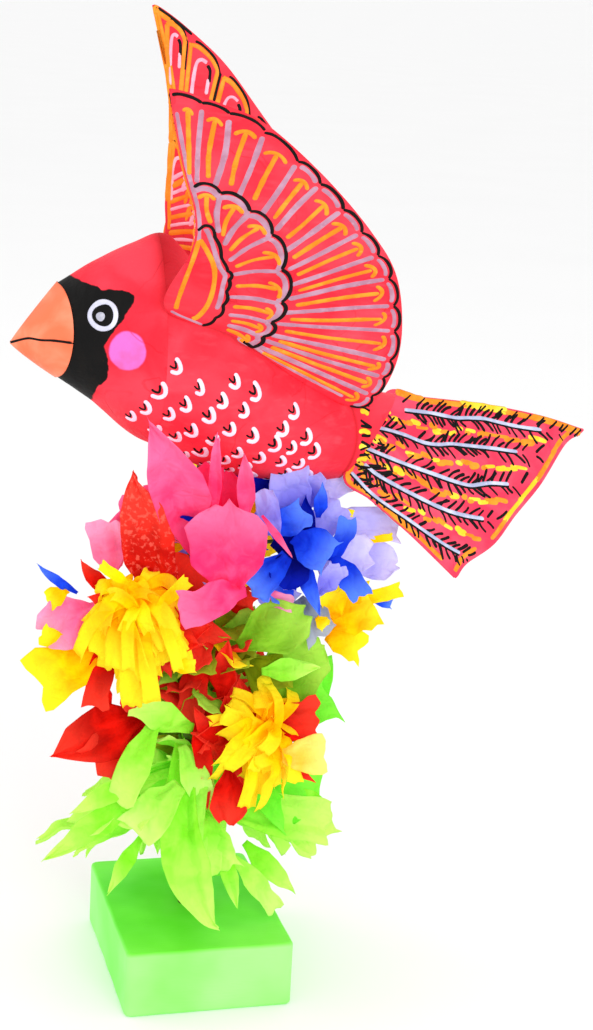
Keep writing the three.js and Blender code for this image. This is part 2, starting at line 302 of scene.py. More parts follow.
def tissue_finish(name, slot, deep, light, tip):
    """Thin crumpled tissue letting light through: painted light at the tip, painted shade at the
    root.
    """
    made = Finish(name, slot)
    patches = made.noise(75, 4, distortion=0.6).past(0.35, 0.7)
    colour = made.blend(patches * 0.7 + made.attribute("tone") * 0.3, deep, light)
    # Paler towards the tip, painted light, and deeper at the root, painted shade.
    colour = made.blend(made.attribute("along").past(0.35, 1.0) * 0.8, colour, tip)
    colour = made.blend((1 - made.attribute("along").past(0.0, 0.32)) * 0.75, colour, deep)
    if name.startswith("speckled"):
        colour = made.blend(made.noise(420, 2).past(0.52, 0.66) * 0.6, colour, (1.0, 0.22, 0.16, 1))
    folds = made.cells(150).past(0.0, 0.2) * 0.5 + made.noise(420, 4) * 0.5
    normal = made.bump(folds, 0.0009, 0.6)
    # The tissue glows a little in its own colour: painted light that brightens it in its shade.
    paper = made.shader(colour, 0.75, normal, Specular_IOR_Level=0.08, Emission_Strength=0.14)
    made.tree.links.new(colour, paper.node.inputs["Emission Color"])
    glow = made.node("ShaderNodeBsdfTranslucent", {}, {"Color": colour, "Normal": normal})
    mixed = made.node("ShaderNodeMixShader", {}, {0: 0.38, 1: paper, 2: glow.outputs[0]})
    return made.show(mixed.outputs[0])


def newsprint_finish():
    """Grey crumpled newspaper."""
    made = Finish("newsprint", "newspaper_core")
    tone = made.noise(90, 5).past(0.35, 0.7)
    colour = made.blend(tone, "A8A296", "CFC9BC")
    return made.show(made.shader(colour, 0.9, made.bump(made.cells(160), 0.001, 0.6)))


# ---- shapes ----------------------------------------------------------------------------------
def unit(vectors):
    return vectors / np.maximum(np.linalg.norm(vectors, axis=-1, keepdims=True), 1e-9)


def spline(knots, shares, closed=False):
    """Catmull-Rom curve through the knots, at shares of the way by knot number or at a count."""
    knots = np.asarray(knots, float)
    spans = len(knots) if closed else len(knots) - 1
    if isinstance(shares, int):
        shares = np.linspace(0, 1, shares, endpoint=not closed)
    t = spans * shares
    i = np.minimum(t.astype(int), spans - 1)
    f = (t - i)[:, None]
    if closed:
        a, b, c, d = (knots[(i + k) % len(knots)] for k in (-1, 0, 1, 2))
    else:
        padded = np.vstack([2 * knots[0] - knots[1], knots, 2 * knots[-1] - knots[-2]])
        a, b, c, d = (padded[i + k] for k in (0, 1, 2, 3))
    return 0.5 * (2 * b + (c - a) * f + (2 * a - 5 * b + 4 * c - d) * f ** 2
                  + (3 * b - a - 3 * c + d) * f ** 3)


def waves(places, seed, length, count):
    """Phases, in turns, of waves of about the given length in random directions."""
    rng = np.random.default_rng(seed)
    directions = unit(rng.normal(size=(count, places.shape[-1])))
    scale = 1 / (length * rng.uniform(0.6, 1.6, count))
    return (places @ directions.T) * scale + rng.uniform(0, 1, count)


def ripples(places, seed, length, count=7):
    """Smooth lumps from -1 to 1: the mean of sine waves."""
    return np.sin(TURN * waves(places, seed, length, count)).mean(-1) * 1.6


def creases(places, seed, length, count=5):
    """Flat facets with sharp folds, from -1 to 1: the mean of triangle waves."""
    phase = waves(places, seed, length, count)
    return (4 * np.abs(phase - np.floor(phase + 0.5)) - 1).mean(-1) * 1.5


def grid_faces(rows, columns, wrap):
    """Four-sided faces of a grid stored row by row. With wrap, the last column meets the first."""
    i = np.arange(rows - 1)[:, None] * columns
    j = np.arange(columns if wrap else columns - 1)[None, :]
    k = (j + 1) % columns
    return np.stack([i + j, i + k, i + columns + k, i + columns + j], -1).reshape(-1, 4)


def sideways(line):
    """Unit directions to the left of a line in the plane, at each of its points."""
    ahead = unit(np.gradient(line, axis=0))
    return np.stack([-ahead[:, 1], ahead[:, 0]], -1)


def patch(points, wrap=True, **fields):
    """One grid of points, with numbers to store on it."""
    return {"points": points, "wrap": wrap, "fields": fields}


def make_piece(name, patches, finish, stands_for=(), wall=0.0):
    """A mesh object from grids of points. With a wall, open patches become thin closed ones."""
    counts = [s["points"].shape[0] * s["points"].shape[1] for s in patches]
    starts = np.concatenate([[0], np.cumsum(counts)[:-1]])
    points = np.concatenate([s["points"].reshape(-1, 3) for s in patches]) * MM
    faces = np.concatenate([
        grid_faces(*s["points"].shape[:2], s["wrap"]) + start for s, start in zip(patches, starts)])
    mesh = bpy.data.meshes.new(name)
    mesh.vertices.add(len(points))
    mesh.vertices.foreach_set("co", points.ravel())
    mesh.loops.add(faces.size)
    mesh.loops.foreach_set("vertex_index", faces.ravel())
    mesh.polygons.add(len(faces))
    mesh.polygons.foreach_set("loop_start", np.arange(0, faces.size, 4))
    mesh.update(calc_edges=True)
    for key in patches[0]["fields"]:
        values = np.concatenate([
            np.broadcast_to(s["fields"][key], s["points"].shape[:2]).ravel() for s in patches])
        stored = mesh.attributes.new(key, "FLOAT", "POINT")
        stored.data.foreach_set("value", values.astype(np.float32))
    shape = bmesh.new()
    shape.from_mesh(mesh)
    bmesh.ops.remove_doubles(shape, verts=shape.verts, dist=1e-7)
    bmesh.ops.recalc_face_normals(shape, faces=shape.faces)
    shape.to_mesh(mesh)
    shape.free()
    mesh.polygons.foreach_set("use_smooth", np.ones(len(mesh.polygons), bool))
    mesh.validate()
    piece = bpy.data.objects.new(name, mesh)
    bpy.context.scene.collection.objects.link(piece)
    mesh.materials.append(finish.material)
    if wall:
        thicken = piece.modifiers.new("paper", "SOLIDIFY")
        thicken.thickness = wall * MM
        thicken.offset = -1
    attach(piece, "root")
    if stands_for:
        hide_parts(*stands_for)


def stroke(surface, path, width, height=0.3, samples=26, ring=8, seed=0):
    """A bead of paint on a surface: a low dome carried along a path, with round ends.

    surface turns places of the path into points and outward normals.
    """
    t = np.linspace(-1, 1, samples)
    t = t * (1.5 - 0.5 * t * t)
    points, normals = surface(spline(path, 0.5 + 0.5 * t))
    length = np.linalg.norm(np.diff(points, axis=0), axis=1).sum()
    round_end = np.clip((1 - np.abs(t)) * length / width, 0, 1)
    swell = np.sqrt(1 - (1 - round_end) ** 2)
    wobble = 1 + 0.14 * ripples(points, seed, 7.0)
    half = 0.5 * width * swell * wobble
    tangents = unit(np.gradient(points, axis=0))
    sides = unit(np.cross(normals, tangents))
    turn = np.linspace(0, TURN, ring, endpoint=False)
    across = np.cos(turn)[None, :, None] * half[:, None, None] * sides[:, None, :]
    rise = np.maximum(np.sin(turn), -0.35)[None, :, None] * (height * swell)[:, None, None]
    return patch(points[:, None, :] + across + rise * normals[:, None, :])


def dab(surface, middle, radius, height):
    """A round dab of paint: a low dome with a flat back, about a place on the surface."""
    spread = surface.spread(middle)
    turn = np.linspace(0, TURN, 40, endpoint=False)
    r = np.concatenate([np.linspace(0, 1, 8), np.linspace(1, 0, 3)])[:, None]
    top = np.concatenate([np.linspace(0, 1, 8), [2, 2, 2]])[:, None]
    edge = radius * (1 + 0.04 * np.sin(3 * turn))
    places = np.stack([
        middle[0] + r * edge * np.cos(turn) * spread[0],
        middle[1] + r * edge * np.sin(turn) * spread[1]], -1)
    points, normals = (part.reshape(*r.shape[:1], -1, 3) for part in surface(places.reshape(-1, 2)))
    lift = np.where(top <= 1, height * np.sqrt(np.maximum(1 - top ** 6, 0)), -0.2) + 0 * turn
    return patch(points + lift[..., None] * normals)


# ---- the bird's round form -------------------------------------------------------------------
# Sections along X: place, height of the middle, half height, half width, and how far the width
# draws in towards the crown.
SECTIONS = np.array([
    [-80, 350, 23, 15, 0.0],
    [-62, 349, 35, 26, 0.05],
    [-42, 346, 48, 34, 0.15],
    [-26, 344, 54, 38, 0.4],
    [-6, 329, 48, 40, 0.25],
    [22, 315, 41, 37, 0.05],
    [52, 304, 32, 29, 0.0],
    [80, 297, 23, 20, 0.0],
    [104, 296, 20, 15, 0.0],
])
NECK = -32
SECTION_CURVE = spline(SECTIONS, 400)


def form_points(x, turn):
    """The form at places along X, all round: an ellipse whose width draws in at the crown."""
    middle, high, wide, crown = (
        np.interp(x, SECTION_CURVE[:, 0], SECTION_CURVE[:, k]) for k in (1, 2, 3, 4))
    draw_in = 1 - crown * np.maximum(np.cos(turn), 0) ** 2
    points = np.stack([
        x + 0 * turn, wide * np.sin(turn) * draw_in, middle + high * np.cos(turn)], -1)
    soft = (0.5 * ripples(points, 4, 34) + 0.4 * creases(points, 9, 30)
            + 0.12 * creases(points, 15, 11))
    outward = unit(points - np.stack([x + 0 * turn, 0 * (x + turn), middle + 0 * turn], -1))
    return points + soft[..., None] * outward


class BirdSkin:
    """The surface of the form: turns (x, turn) places into points and their normals."""

    def steps(self, x, turn):
        """The ways the form runs as x grows by 1 and as turn grows by 0.02."""
        return (form_points(x + 0.5, turn) - form_points(x - 0.5, turn),
                form_points(x, turn + 0.01) - form_points(x, turn - 0.01))

    def __call__(self, places):
        x, turn = places[:, 0], places[:, 1]
        return form_points(x, turn), unit(np.cross(*self.steps(x, turn)))

    def spread(self, place):
        """How much of each coordinate makes one millimetre."""
        step_x, step_turn = self.steps(np.array([place[0]]), np.array([place[1]]))
        return 1 / np.linalg.norm(step_x), 0.02 / np.linalg.norm(step_turn)


SKIN = BirdSkin()


def near_outline(places, outline):
    """Signed distance to a closed outline in the plane, positive inside."""
    start, end = outline, np.roll(outline, -1, axis=0)
    edge = end - start
    to_place = places[..., None, :] - start
    share = np.clip((to_place * edge).sum(-1) / (edge ** 2).sum(-1), 0, 1)
    gap = np.linalg.norm(to_place - share[..., None] * edge, axis=-1).min(-1)
    above = (start[:, 1] > places[..., 1:2]) != (end[:, 1] > places[..., 1:2])
    with np.errstate(divide="ignore", invalid="ignore"):
        cross = start[:, 0] + (places[..., 1:2] - start[:, 1]) * edge[:, 0] / edge[:, 1]
    inside = (above & (places[..., 0:1] < cross)).sum(-1) % 2 == 1
    return np.where(inside, gap, -gap)


# The black mask seen from the side, as (x, z): a band from the forehead over the eye to the throat.
MASK = [
    (-90, 374), (-66, 374.5), (-61, 373), (-55, 373.5), (-47, 372), (-47.5, 368), (-51, 362),
    (-55, 356), (-59, 350), (-60.5, 346), (-59, 341), (-58, 335), (-59, 329), (-62, 325),
    (-63, 320), (-65, 312), (-90, 312),
]
FACE = np.array([-80, 0, 350])
CHEEK = (-50, 345)
CHEEK_RADIUS = 9.5
EYE = (-61.5, math.radians(69.5))


def make_head(finish):
    """The head: the form from the beak's root to the neck, where it's open. Its front is closed."""
    rows, front_rows = 120, 6
    x = np.concatenate([np.full(front_rows, FACE[0]), np.linspace(FACE[0], NECK + 0.6, rows)])
    x = x[:, None]
    turn = np.linspace(0, TURN, 260, endpoint=False)[None, :]
    points = form_points(x, turn)
    shut = np.concatenate([np.linspace(0, 1, front_rows), np.ones(rows)])[:, None, None]
    points = points * shut + FACE * (1 - shut)
    hidden = np.clip(beak_root(turn) - x, 0, 1)[..., None]
    points = points + (FACE - points) * (0.08, 0.12, 0.12) * hidden
    side = points[..., [0, 2]]
    cheek = CHEEK_RADIUS - np.linalg.norm((side - CHEEK) * (1.12, 1), axis=-1)
    # Painted shade at the neck, darkest on the crown side, where the head meets the body.
    fold = np.clip((x - NECK + 6) / 6, 0, 1) ** 2 * np.clip(np.cos(turn) * 1.5 - 0.2, 0, 1) * 0.8
    mask = near_outline(side, spline(MASK, 120, closed=True))
    make_piece("head", [patch(points, mask=mask, cheek=cheek, fold=fold)], finish, ("head_shell",),
               wall=SHELL_WALL)


TAIL_CUT = {"through": np.array([83, -2, 296]), "normal": np.array([0.82, -0.13, -0.56])}


def make_body(finish):
    """The body: the form from the neck to a slanting flat end, closed at that end."""
    turn = np.linspace(0, TURN, 240, endpoint=False)
    end = np.full(turn.shape, float(TAIL_CUT["through"][0]))
    for _ in range(4):
        rim = form_points(end, turn)
        end = end - ((rim - TAIL_CUT["through"]) @ TAIL_CUT["normal"]) / TAIL_CUT["normal"][0]
    share = np.linspace(0, 1, 160)[:, None]
    x = NECK - 0.4 + share * (end - NECK + 0.4)[None, :]
    points = form_points(x, turn[None, :] + 0 * x)
    centre = points[-1].mean(0)
    closing = np.linspace(0, 1, 14)[1:, None, None]
    cap = points[-1] * (1 - closing) + centre * closing
    sag = 1.2 * np.sin(math.pi * closing)
    cap = cap + sag * TAIL_CUT["normal"]
    tuck = np.clip(1 - (x - NECK) / 2, 0, 1)[..., None]
    middle = np.stack([x, 0 * x, 0 * x + 344], -1)
    points = points + (middle - points) * 0.004 * tuck ** 2
    # Painted shade: near the neck on the crown side, in a ring near the body's end, and over the
    # flat end.
    crown_side = np.clip(np.cos(turn)[None, :] * 1.5 - 0.2, 0, 1)
    fold = np.clip(1 - (x - NECK) / 16, 0, 1) ** 1.5 * crown_side
    fold = fold + 0.8 * np.exp(-((x - 69.5 - 2 * np.sin(3 * turn)) / 0.9) ** 2)
    fold = np.concatenate([fold, np.full(cap.shape[:2], 0.25)])
    make_piece("body", [patch(np.concatenate([points, cap]), fold=fold)], finish, ("body_shell",),
               wall=SHELL_WALL)


BEAK_TIP = np.array([-103, 0, 343])
MOUTH_CORNER = -74.7


def mouth_line(x):
    """Height of the mouth: a quarter sine that rises from the tip and is level by mid beak."""
    return BEAK_TIP[2] + 3.3 * np.sin(np.clip((x - BEAK_TIP[0]) / 11, 0, 1) * math.pi / 2)


def beak_root(turn):
    """Where the beak starts along X: level with the face at the top, bulging back at the sides."""
    return -80.5 + 5.8 * np.abs(np.sin(turn)) ** 1.4


def beak_half(upper):
    """Half of the beak: from a root that laps the face to the tip, flat along the mouth."""
    turn = np.linspace(0, TURN, 96, endpoint=False)
    root = form_points(beak_root(turn), turn)
    root = root + unit(root - FACE) * 0.7
    share = np.linspace(0, 1, 40)[:, None, None]
    axis = FACE * (1 - share) + BEAK_TIP * share
    body = axis + (root - FACE) * (1 - share) ** 0.9
    body[..., 0] = root[:, 0] + (BEAK_TIP[0] - root[:, 0]) * share[..., 0]
    closing = np.linspace(0, 1, 5)[:-1, None, None]
    back = (FACE + (1.5, 0, 0)) * (1 - closing) + root * closing
    points = np.concatenate([back, body])
    line = mouth_line(points[..., 0])
    z = points[..., 2]
    points[..., 2] = np.maximum(z, line + 0.25) if upper else np.minimum(z, line - 0.25)
    points[..., 1] += 0.15 * creases(points, 21, 16)
    return patch(points)


def make_beak(finish, ink):
    """The two halves of the beak, and a dark line along the mouth on each side."""
    make_piece("upper_beak", [beak_half(True)], finish, ("beak_upper",))
    make_piece("lower_beak", [beak_half(False)], finish, ("beak_lower",))

    def side_of_beak(sign):
        def surface(places):
            share = places[:, 0]
            x = MOUTH_CORNER + (BEAK_TIP[0] - MOUTH_CORNER) * share
            y = sign * (19.1 * (1 - share) ** 0.95 + 0.15)
            z = mouth_line(x) + places[:, 1]
            return np.stack([x, y, z], -1), np.tile([0.0, sign, 0.0], (len(x), 1))
        return surface

    path = [(0.02, 0.2), (0.3, 0.4), (0.5, -0.1), (0.7, 0.3), (0.86, 0), (0.99, 0)]
    lines = [stroke(side_of_beak(s), path, 1.2, 0.5) for s in (-1, 1)]
    make_piece("mouth_lines", lines, ink)


def make_eyes(white, ink, gleam):
    """On each side: a white ring, a black disc in it and a pale highlight."""
    rings, discs, gleams = [], [], []
    for side in (-1, 1):
        middle = (EYE[0], side * EYE[1])
        spread = SKIN.spread(middle)
        turn = np.linspace(0, 1.07 * TURN, 27)
        ring = np.array(middle) + 6.5 * np.stack([np.cos(turn), np.sin(turn)], -1) * spread
        rings.append(stroke(SKIN, ring, 2.6, 0.45, samples=90, seed=3))
        discs.append(dab(SKIN, middle, 5.4, 0.35))
        gleams.append(dab(SKIN, (EYE[0] - 1.0, middle[1] + side * 0.02), 2.5, 0.6))
    make_piece("eye_rings", rings, white)
    make_piece("eye_discs", discs, ink)
    make_piece("eye_highlights", gleams, gleam)


def make_tail_root_dabs(yellow, ink):
    """Yellow dabs and black strokes round the body's end, where the tail starts."""
    rng = np.random.default_rng(55)
    yellows, blacks = [], []
    for degrees in range(0, 360, 20):
        turn = math.radians(degrees + rng.uniform(-5, 5))
        start = 72 + rng.uniform(-1, 3)
        run = rng.uniform(5, 8)
        path = [(start, turn), (start + 0.5 * run, turn + 0.05), (start + run, turn)]
        yellows.append(stroke(SKIN, path, 2.8, 0.25, 14))
        for side in (0.14, 0.26):
            lean = rng.uniform(-0.12, 0.12)
            path = [(start + 1 + share * run, turn + side + share * lean) for share in (0, 0.5, 1)]
            blacks.append(stroke(SKIN, path, 1.6, 0.3, 14))
    make_piece("tail_root_yellow", yellows, yellow)
    make_piece("tail_root_black", blacks, ink)


# Rows of breast marks: degrees round from the crown, first place along X, last place along X.
MARK_ROWS = [
    (82, -10, 36), (97, -34, 50), (112, -44, 54), (127, -52, 50), (142, -58, 48), (157, -50, 44)]
MARK_STEP = 11.6


def make_breast_marks(white, ink):
    """Staggered rows of crescents, thick behind and open to the beak, each with a black tick."""
    rng = np.random.default_rng(12)
    hook = np.array([(2.6, 4.6), (3.9, 1.2), (3.0, -2.4), (-0.4, -4.0), (-4.4, -2.6)])
    tick = np.array([(-3.4, 0.8), (-2.0, -0.6), (0.1, -1.1), (1.0, 0.6), (1.3, 3.0)])
    crescents, ticks = [], []
    for side in (-1, 1):
        for row, (degrees, first, last) in enumerate(MARK_ROWS):
            phase = MARK_STEP * 0.5 * (row % 2)
            for x in np.arange(phase - 10 * MARK_STEP, last, MARK_STEP):
                if x < first or rng.uniform() < 0.06:
                    continue
                place = np.array([
                    x + rng.uniform(-1.4, 1.4), side * math.radians(degrees + rng.uniform(-2, 2))])
                up = np.array(SKIN.spread(place)) * (1, -side)
                size = rng.uniform(0.76, 0.98)
                lean = math.radians(rng.uniform(6, 36))
                turned = np.array([
                    [math.cos(lean), math.sin(lean)], [-math.sin(lean), math.cos(lean)]])
                crescent_path = place + hook * size @ turned * up
                crescents.append(stroke(SKIN, crescent_path, 2.4, 0.3, 24, seed=12))
                tick_path = place + tick * size @ turned * up
                ticks.append(stroke(SKIN, tick_path, 1.25 * size, 0.34, 18, seed=3))
    make_piece("breast_crescents", crescents, white)
    make_piece("breast_ticks", ticks, ink)


# ---- card boards: wings and tail -------------------------------------------------------------
KNOT_POINTS = 20
LAST_RIM_KNOT = 15
EDGE_MARGIN = 0.8
SUNK = 0.05


class Board:
    """A card board in a flat chart: a corner, two directions, an outline, and a light bow.

    Its rim is the outline from the tip, a knot's number, to LAST_RIM_KNOT. Its fan of feathers
    starts at the direction first, in degrees. A board without feathers has first 0.
    """

    def __init__(self, corner, along, up, thick, hub, outline, seed, tip, first):
        self.corner = np.array(corner, float)
        self.along = unit(np.array(along, float))
        self.face = unit(np.cross(self.along, np.array(up, float)))
        self.up = np.cross(self.face, self.along)
        self.thick, self.seed, self.first = thick, seed, first
        self.hub = np.array(hub, float)
        self.outline = spline(outline, KNOT_POINTS * len(outline), closed=True)
        self.rim = self.outline[KNOT_POINTS * tip:KNOT_POINTS * LAST_RIM_KNOT + 1]

    def at(self, places, lift):
        """Points above the board's middle plane, which bows by a smooth ripple."""
        places = np.asarray(places, float)
        bend = 0.8 * ripples(places, self.seed, 90, 4)
        return (self.corner + places[..., 0:1] * self.along + places[..., 1:2] * self.up
                + (lift + bend)[..., None] * self.face)

    def side(self, sign, source=None):
        """The surface of one face, for strokes: +1 for the face along x up, -1 for the other.

        With a source board, places are read in its chart and fitted to this one round FAN.
        """
        def surface(places):
            if source is not None:
                away = places - FAN
                turn = np.degrees(np.arctan2(away[:, 1], away[:, 0]))
                fitted = LAST + (turn - LAST) * (self.first - LAST) / (source.first - LAST)
                scale = self.reach(FAN, fitted) / source.reach(FAN, turn)
                places = polar(fitted, np.linalg.norm(away, axis=1) * scale)
            places = self.keep(places, EDGE_MARGIN)
            lift = np.full(len(places), sign * (0.5 * self.thick - SUNK))
            return self.at(places, lift), np.tile(sign * self.face, (len(places), 1))
        return surface

    def reach(self, centre, degrees, whole=False):
        """Distance from a centre to the rim, or to the whole outline, in a direction or several."""
        away = (self.outline if whole else self.rim) - np.array(centre)
        angle = np.degrees(np.arctan2(away[:, 1], away[:, 0]))
        order = np.argsort(angle)
        period = 360 if whole else None
        return np.interp(degrees, angle[order], np.linalg.norm(away, axis=1)[order], period=period)

    def room(self, places):
        """Distance from the hub, and the distance to the outline in the same direction."""
        away = np.asarray(places) - self.hub
        turn = np.degrees(np.arctan2(away[..., 1], away[..., 0]))
        return np.linalg.norm(away, axis=-1), self.reach(self.hub, turn, whole=True)

    def keep(self, places, margin):
        """Places outside the outline, less a margin, are drawn in towards the hub."""
        far, edge = self.room(places)
        return self.hub + (places - self.hub) * np.minimum(1, (edge - margin) / far)[..., None]

    def inset(self, start, stop, step, depth):
        """Every few points along the outline, moved in square to it by a depth."""
        return (self.outline - depth * sideways(self.outline))[start:stop:step]


def make_board(name, board, finish, node):
    """The board: one face from the hub to the edge, round the edge, and back over the other."""
    rings = 46
    out = np.linspace(0, 1, rings) ** 0.8
    share = np.concatenate([out, [1.004], out[::-1]])
    round_off = 0.45 + 0.55 * np.clip((1 - share) / 0.02, 0, 1) ** 0.5
    lift = 0.5 * board.thick * round_off * np.concatenate([np.ones(rings), [0], -np.ones(rings)])
    places = board.hub + share[:, None, None] * (board.outline - board.hub)
    points = board.at(places, np.broadcast_to(lift[:, None], places.shape[:2]))
    # Painted shade round a wing's root; the tail has first 0 and gets none.
    root_shade = np.clip(1 - np.linalg.norm(places - FAN, axis=-1) / 60, 0, 1) * 0.45
    make_piece(name, [patch(points, fold=root_shade * (board.first > 0))], finish, (node,))


LEFT_WING = Board(
    [-33.6, -37, 366.7], [0.911, 0.091, -0.403], [0.38, -0.569, 0.73], 1.9, [24, 24],
    [[0, 0], [-8, 36], [-13, 49], [-22, 62], [-38, 79], [-61, 107], [-62, 113], [-36, 117],
     [-16, 117], [21, 107], [55, 93], [81, 77], [104, 50], [117, 25], [121, 0], [111, -8],
     [82, -6], [38, 3]],
    5, 5, 125.3)
RIGHT_WING = Board(
    [-34, 32, 365], [0.925, -0.102, -0.365], [0.375, 0.115, 0.92], 1.9, [26, 30],
    [[0, 4], [2, 30], [-4, 47], [-10, 66], [-23, 99], [-44.6, 130], [-47, 134.4], [-42, 134.8],
     [-27.5, 131.6], [-3.4, 123.6], [20.9, 110], [60, 86], [98, 56], [117, 25], [120, 2], [108, -6],
     [80, -5], [38, 2]],
    6, 6, 112.5)
# The fan's middle and last direction. The edges of feathers and coverts are directions in degrees.
FAN = np.array([13.5, 3.0])
LAST = -5.5
FEATHER_EDGES = [
    125.3, 119.6, 113.8, 105.5, 95.1, 86.6, 76.3, 66.6, 56.8, 47.4, 36.6, 26.6, 15.3, 8.7, 1.2,
    LAST]
COVERT_EDGES = [121, 112, 100, 87, 69, 46, 28, 12, -6]
COVERT_REACH = [80, 78, 72, 65, 53, 44, 38, 36, 31]
COVERT_ROOTS = np.array([
    (-14, 58), (-4, 55), (2, 50), (9, 43), (15, 37), (21, 24), (27, 14), (30, 8), (30, 3)], float)
SHOULDER = [
    (-13, 51), (-10, 56), (-2, 50), (8, 40), (14, 36), (17, 29), (21, 20), (23, 10), (20, 1)]


def polar(degrees, reach):
    """Places at a direction and a distance from the middle of the feather fan."""
    turn = np.radians(degrees)
    return FAN + np.stack([reach * np.cos(turn), reach * np.sin(turn)], -1)


def covert_reach(degrees):
    """How far the coverts reach in a direction."""
    return float(np.interp(degrees, COVERT_EDGES[::-1], COVERT_REACH[::-1]))


def stroke_maker(face, seed):
    """A function that adds strokes of varied width to a list, and its random numbers."""
    rng = np.random.default_rng(seed)

    def add(kind, path, width, **more):
        width = width * rng.uniform(0.88, 1.12)
        kind.append(stroke(face, path, width, seed=int(rng.integers(999)), **more))
    return add, rng


def outer_face_strokes(face):
    """The outer face: a tier of long feathers, a tier of coverts and a plain shoulder."""
    board = LEFT_WING
    add, rng = stroke_maker(face, 31)
    black, mauve, orange = [], [], []
    t = np.linspace(0, 1, 9)
    for i, (a, b) in enumerate(zip(FEATHER_EDGES[:-1], FEATHER_EDGES[1:])):
        across = a + (b - a) * t
        cusp_depth = 1.4 if i < 3 else 2.6
        rim = board.reach(FAN, across) - 0.9 - cusp_depth * np.abs(2 * t - 1) ** 2.6
        add(black, polar(across, rim), 1.7, height=0.26)
        if i > 3:
            add(mauve, polar(across[1:-1], rim[1:-1] - 2.6), 2.5, height=0.14)
        middle = a + (b - a) * rng.uniform(0.46, 0.54)
        root = covert_reach(middle) + 4
        tip = float(board.reach(FAN, middle)) - (8.5 if i < 4 else 9.5)
        bend = rng.uniform(-0.6, 0.6)
        stem = root + (tip - root) * np.array([0.08, 0.5, 1])
        add(orange, polar([middle, middle + bend, middle], stem), 2.5)
        width = (0.33 if i else 0.2) * (b - a)
        droop = 3.0 if i < 7 else 4.2
        cap_t = np.linspace(-1, 1, 7) * rng.uniform(0.85, 1.0)
        lean = rng.uniform(-0.25, 0.1)
        cap = tip + (0.6 if i < 7 else 1.4) - droop * (cap_t - lean) ** 2
        add(orange, polar(middle + width * cap_t, cap), 2.3)
    for a in FEATHER_EDGES[1:-1]:
        inner = covert_reach(a) + 3
        outer = float(board.reach(FAN, a)) - 5.5
        bend = rng.uniform(-0.7, 0.7)
        away = inner + (outer - inner) * np.array([0, 0.5, 1])
        add(mauve, polar([a + 0.4, a + bend, a], away), 3.1, height=0.16)
    add(mauve, board.inset(24, 100, 8, 1.9), 2.2, samples=60, height=0.14)
    add(mauve, [(38, 5), (60, 0.5), (85, -2), (106, -3)], 2.2, height=0.14)
    for i in range(len(COVERT_EDGES) - 1):
        across = COVERT_EDGES[i] + (COVERT_EDGES[i + 1] - COVERT_EDGES[i]) * t
        cusp = COVERT_REACH[i] + (COVERT_REACH[i + 1] - COVERT_REACH[i]) * t
        rim = cusp + 3.6 * (1 - np.abs(2 * t - 1) ** 2.4)
        add(black, polar(across, rim), 2.1, height=0.34)
        add(mauve, polar(across, rim - 3.0), 3.2, height=0.16)
        tip = polar(across[4], rim[4] - 7)
        root = 0.5 * (COVERT_ROOTS[i] + COVERT_ROOTS[i + 1])
        root = root + 0.1 * (tip - root)
        sway = 0.06 * np.array([root[1] - tip[1], tip[0] - root[0]])
        add(orange, [root, 0.5 * (root + tip) + sway, tip], 2.4)
        cap_t = np.linspace(-1, 1, 7)
        size = 0.34 * (COVERT_EDGES[i + 1] - COVERT_EDGES[i])
        add(orange, polar(across[4] + size * cap_t, rim[4] - 6.4 - 2.6 * cap_t ** 2), 2.4)
        if i:
            cusp_place = polar(COVERT_EDGES[i], COVERT_REACH[i] - 2)
            middle = 0.5 * (cusp_place + COVERT_ROOTS[i]) + sway
            add(mauve, [cusp_place, middle, COVERT_ROOTS[i]], 2.9, height=0.16)
    shoulder = spline(SHOULDER, 96)
    across = sideways(shoulder)
    share = np.linspace(0, 1, 96)[:, None]
    scallop = 1.3 * np.abs(np.sin(share * 9 * math.pi))
    add(black, shoulder + across * scallop * share ** 0.4, 1.9, samples=150, height=0.34)
    add(mauve, shoulder[6:80:6] - across[6:80:6] * 2.2, 2.8, samples=60, height=0.16)
    add(orange, [(-9.4, 46.7), (-5.7, 35.3), (-2.0, 22), (1.6, 9.8), (4.0, 3.3)], 2.2)
    path = [(-9.6, 47), (-3.1, 43), (5.4, 36), (11.6, 25.3), (15.2, 14.4), (15.5, 5.6), (14, 2)]
    add(orange, path, 2.6)
    add(mauve, [(2.5, 1.0), (8, 0.8), (14, 1.2), (20, 1.6)], 1.8, height=0.14)
    return black, mauve, orange


INNER_EDGES = np.array([112.5, 107.3, 98, 86.5, 77, 67, 57, 47, 37, 27, 17, 8, -1])


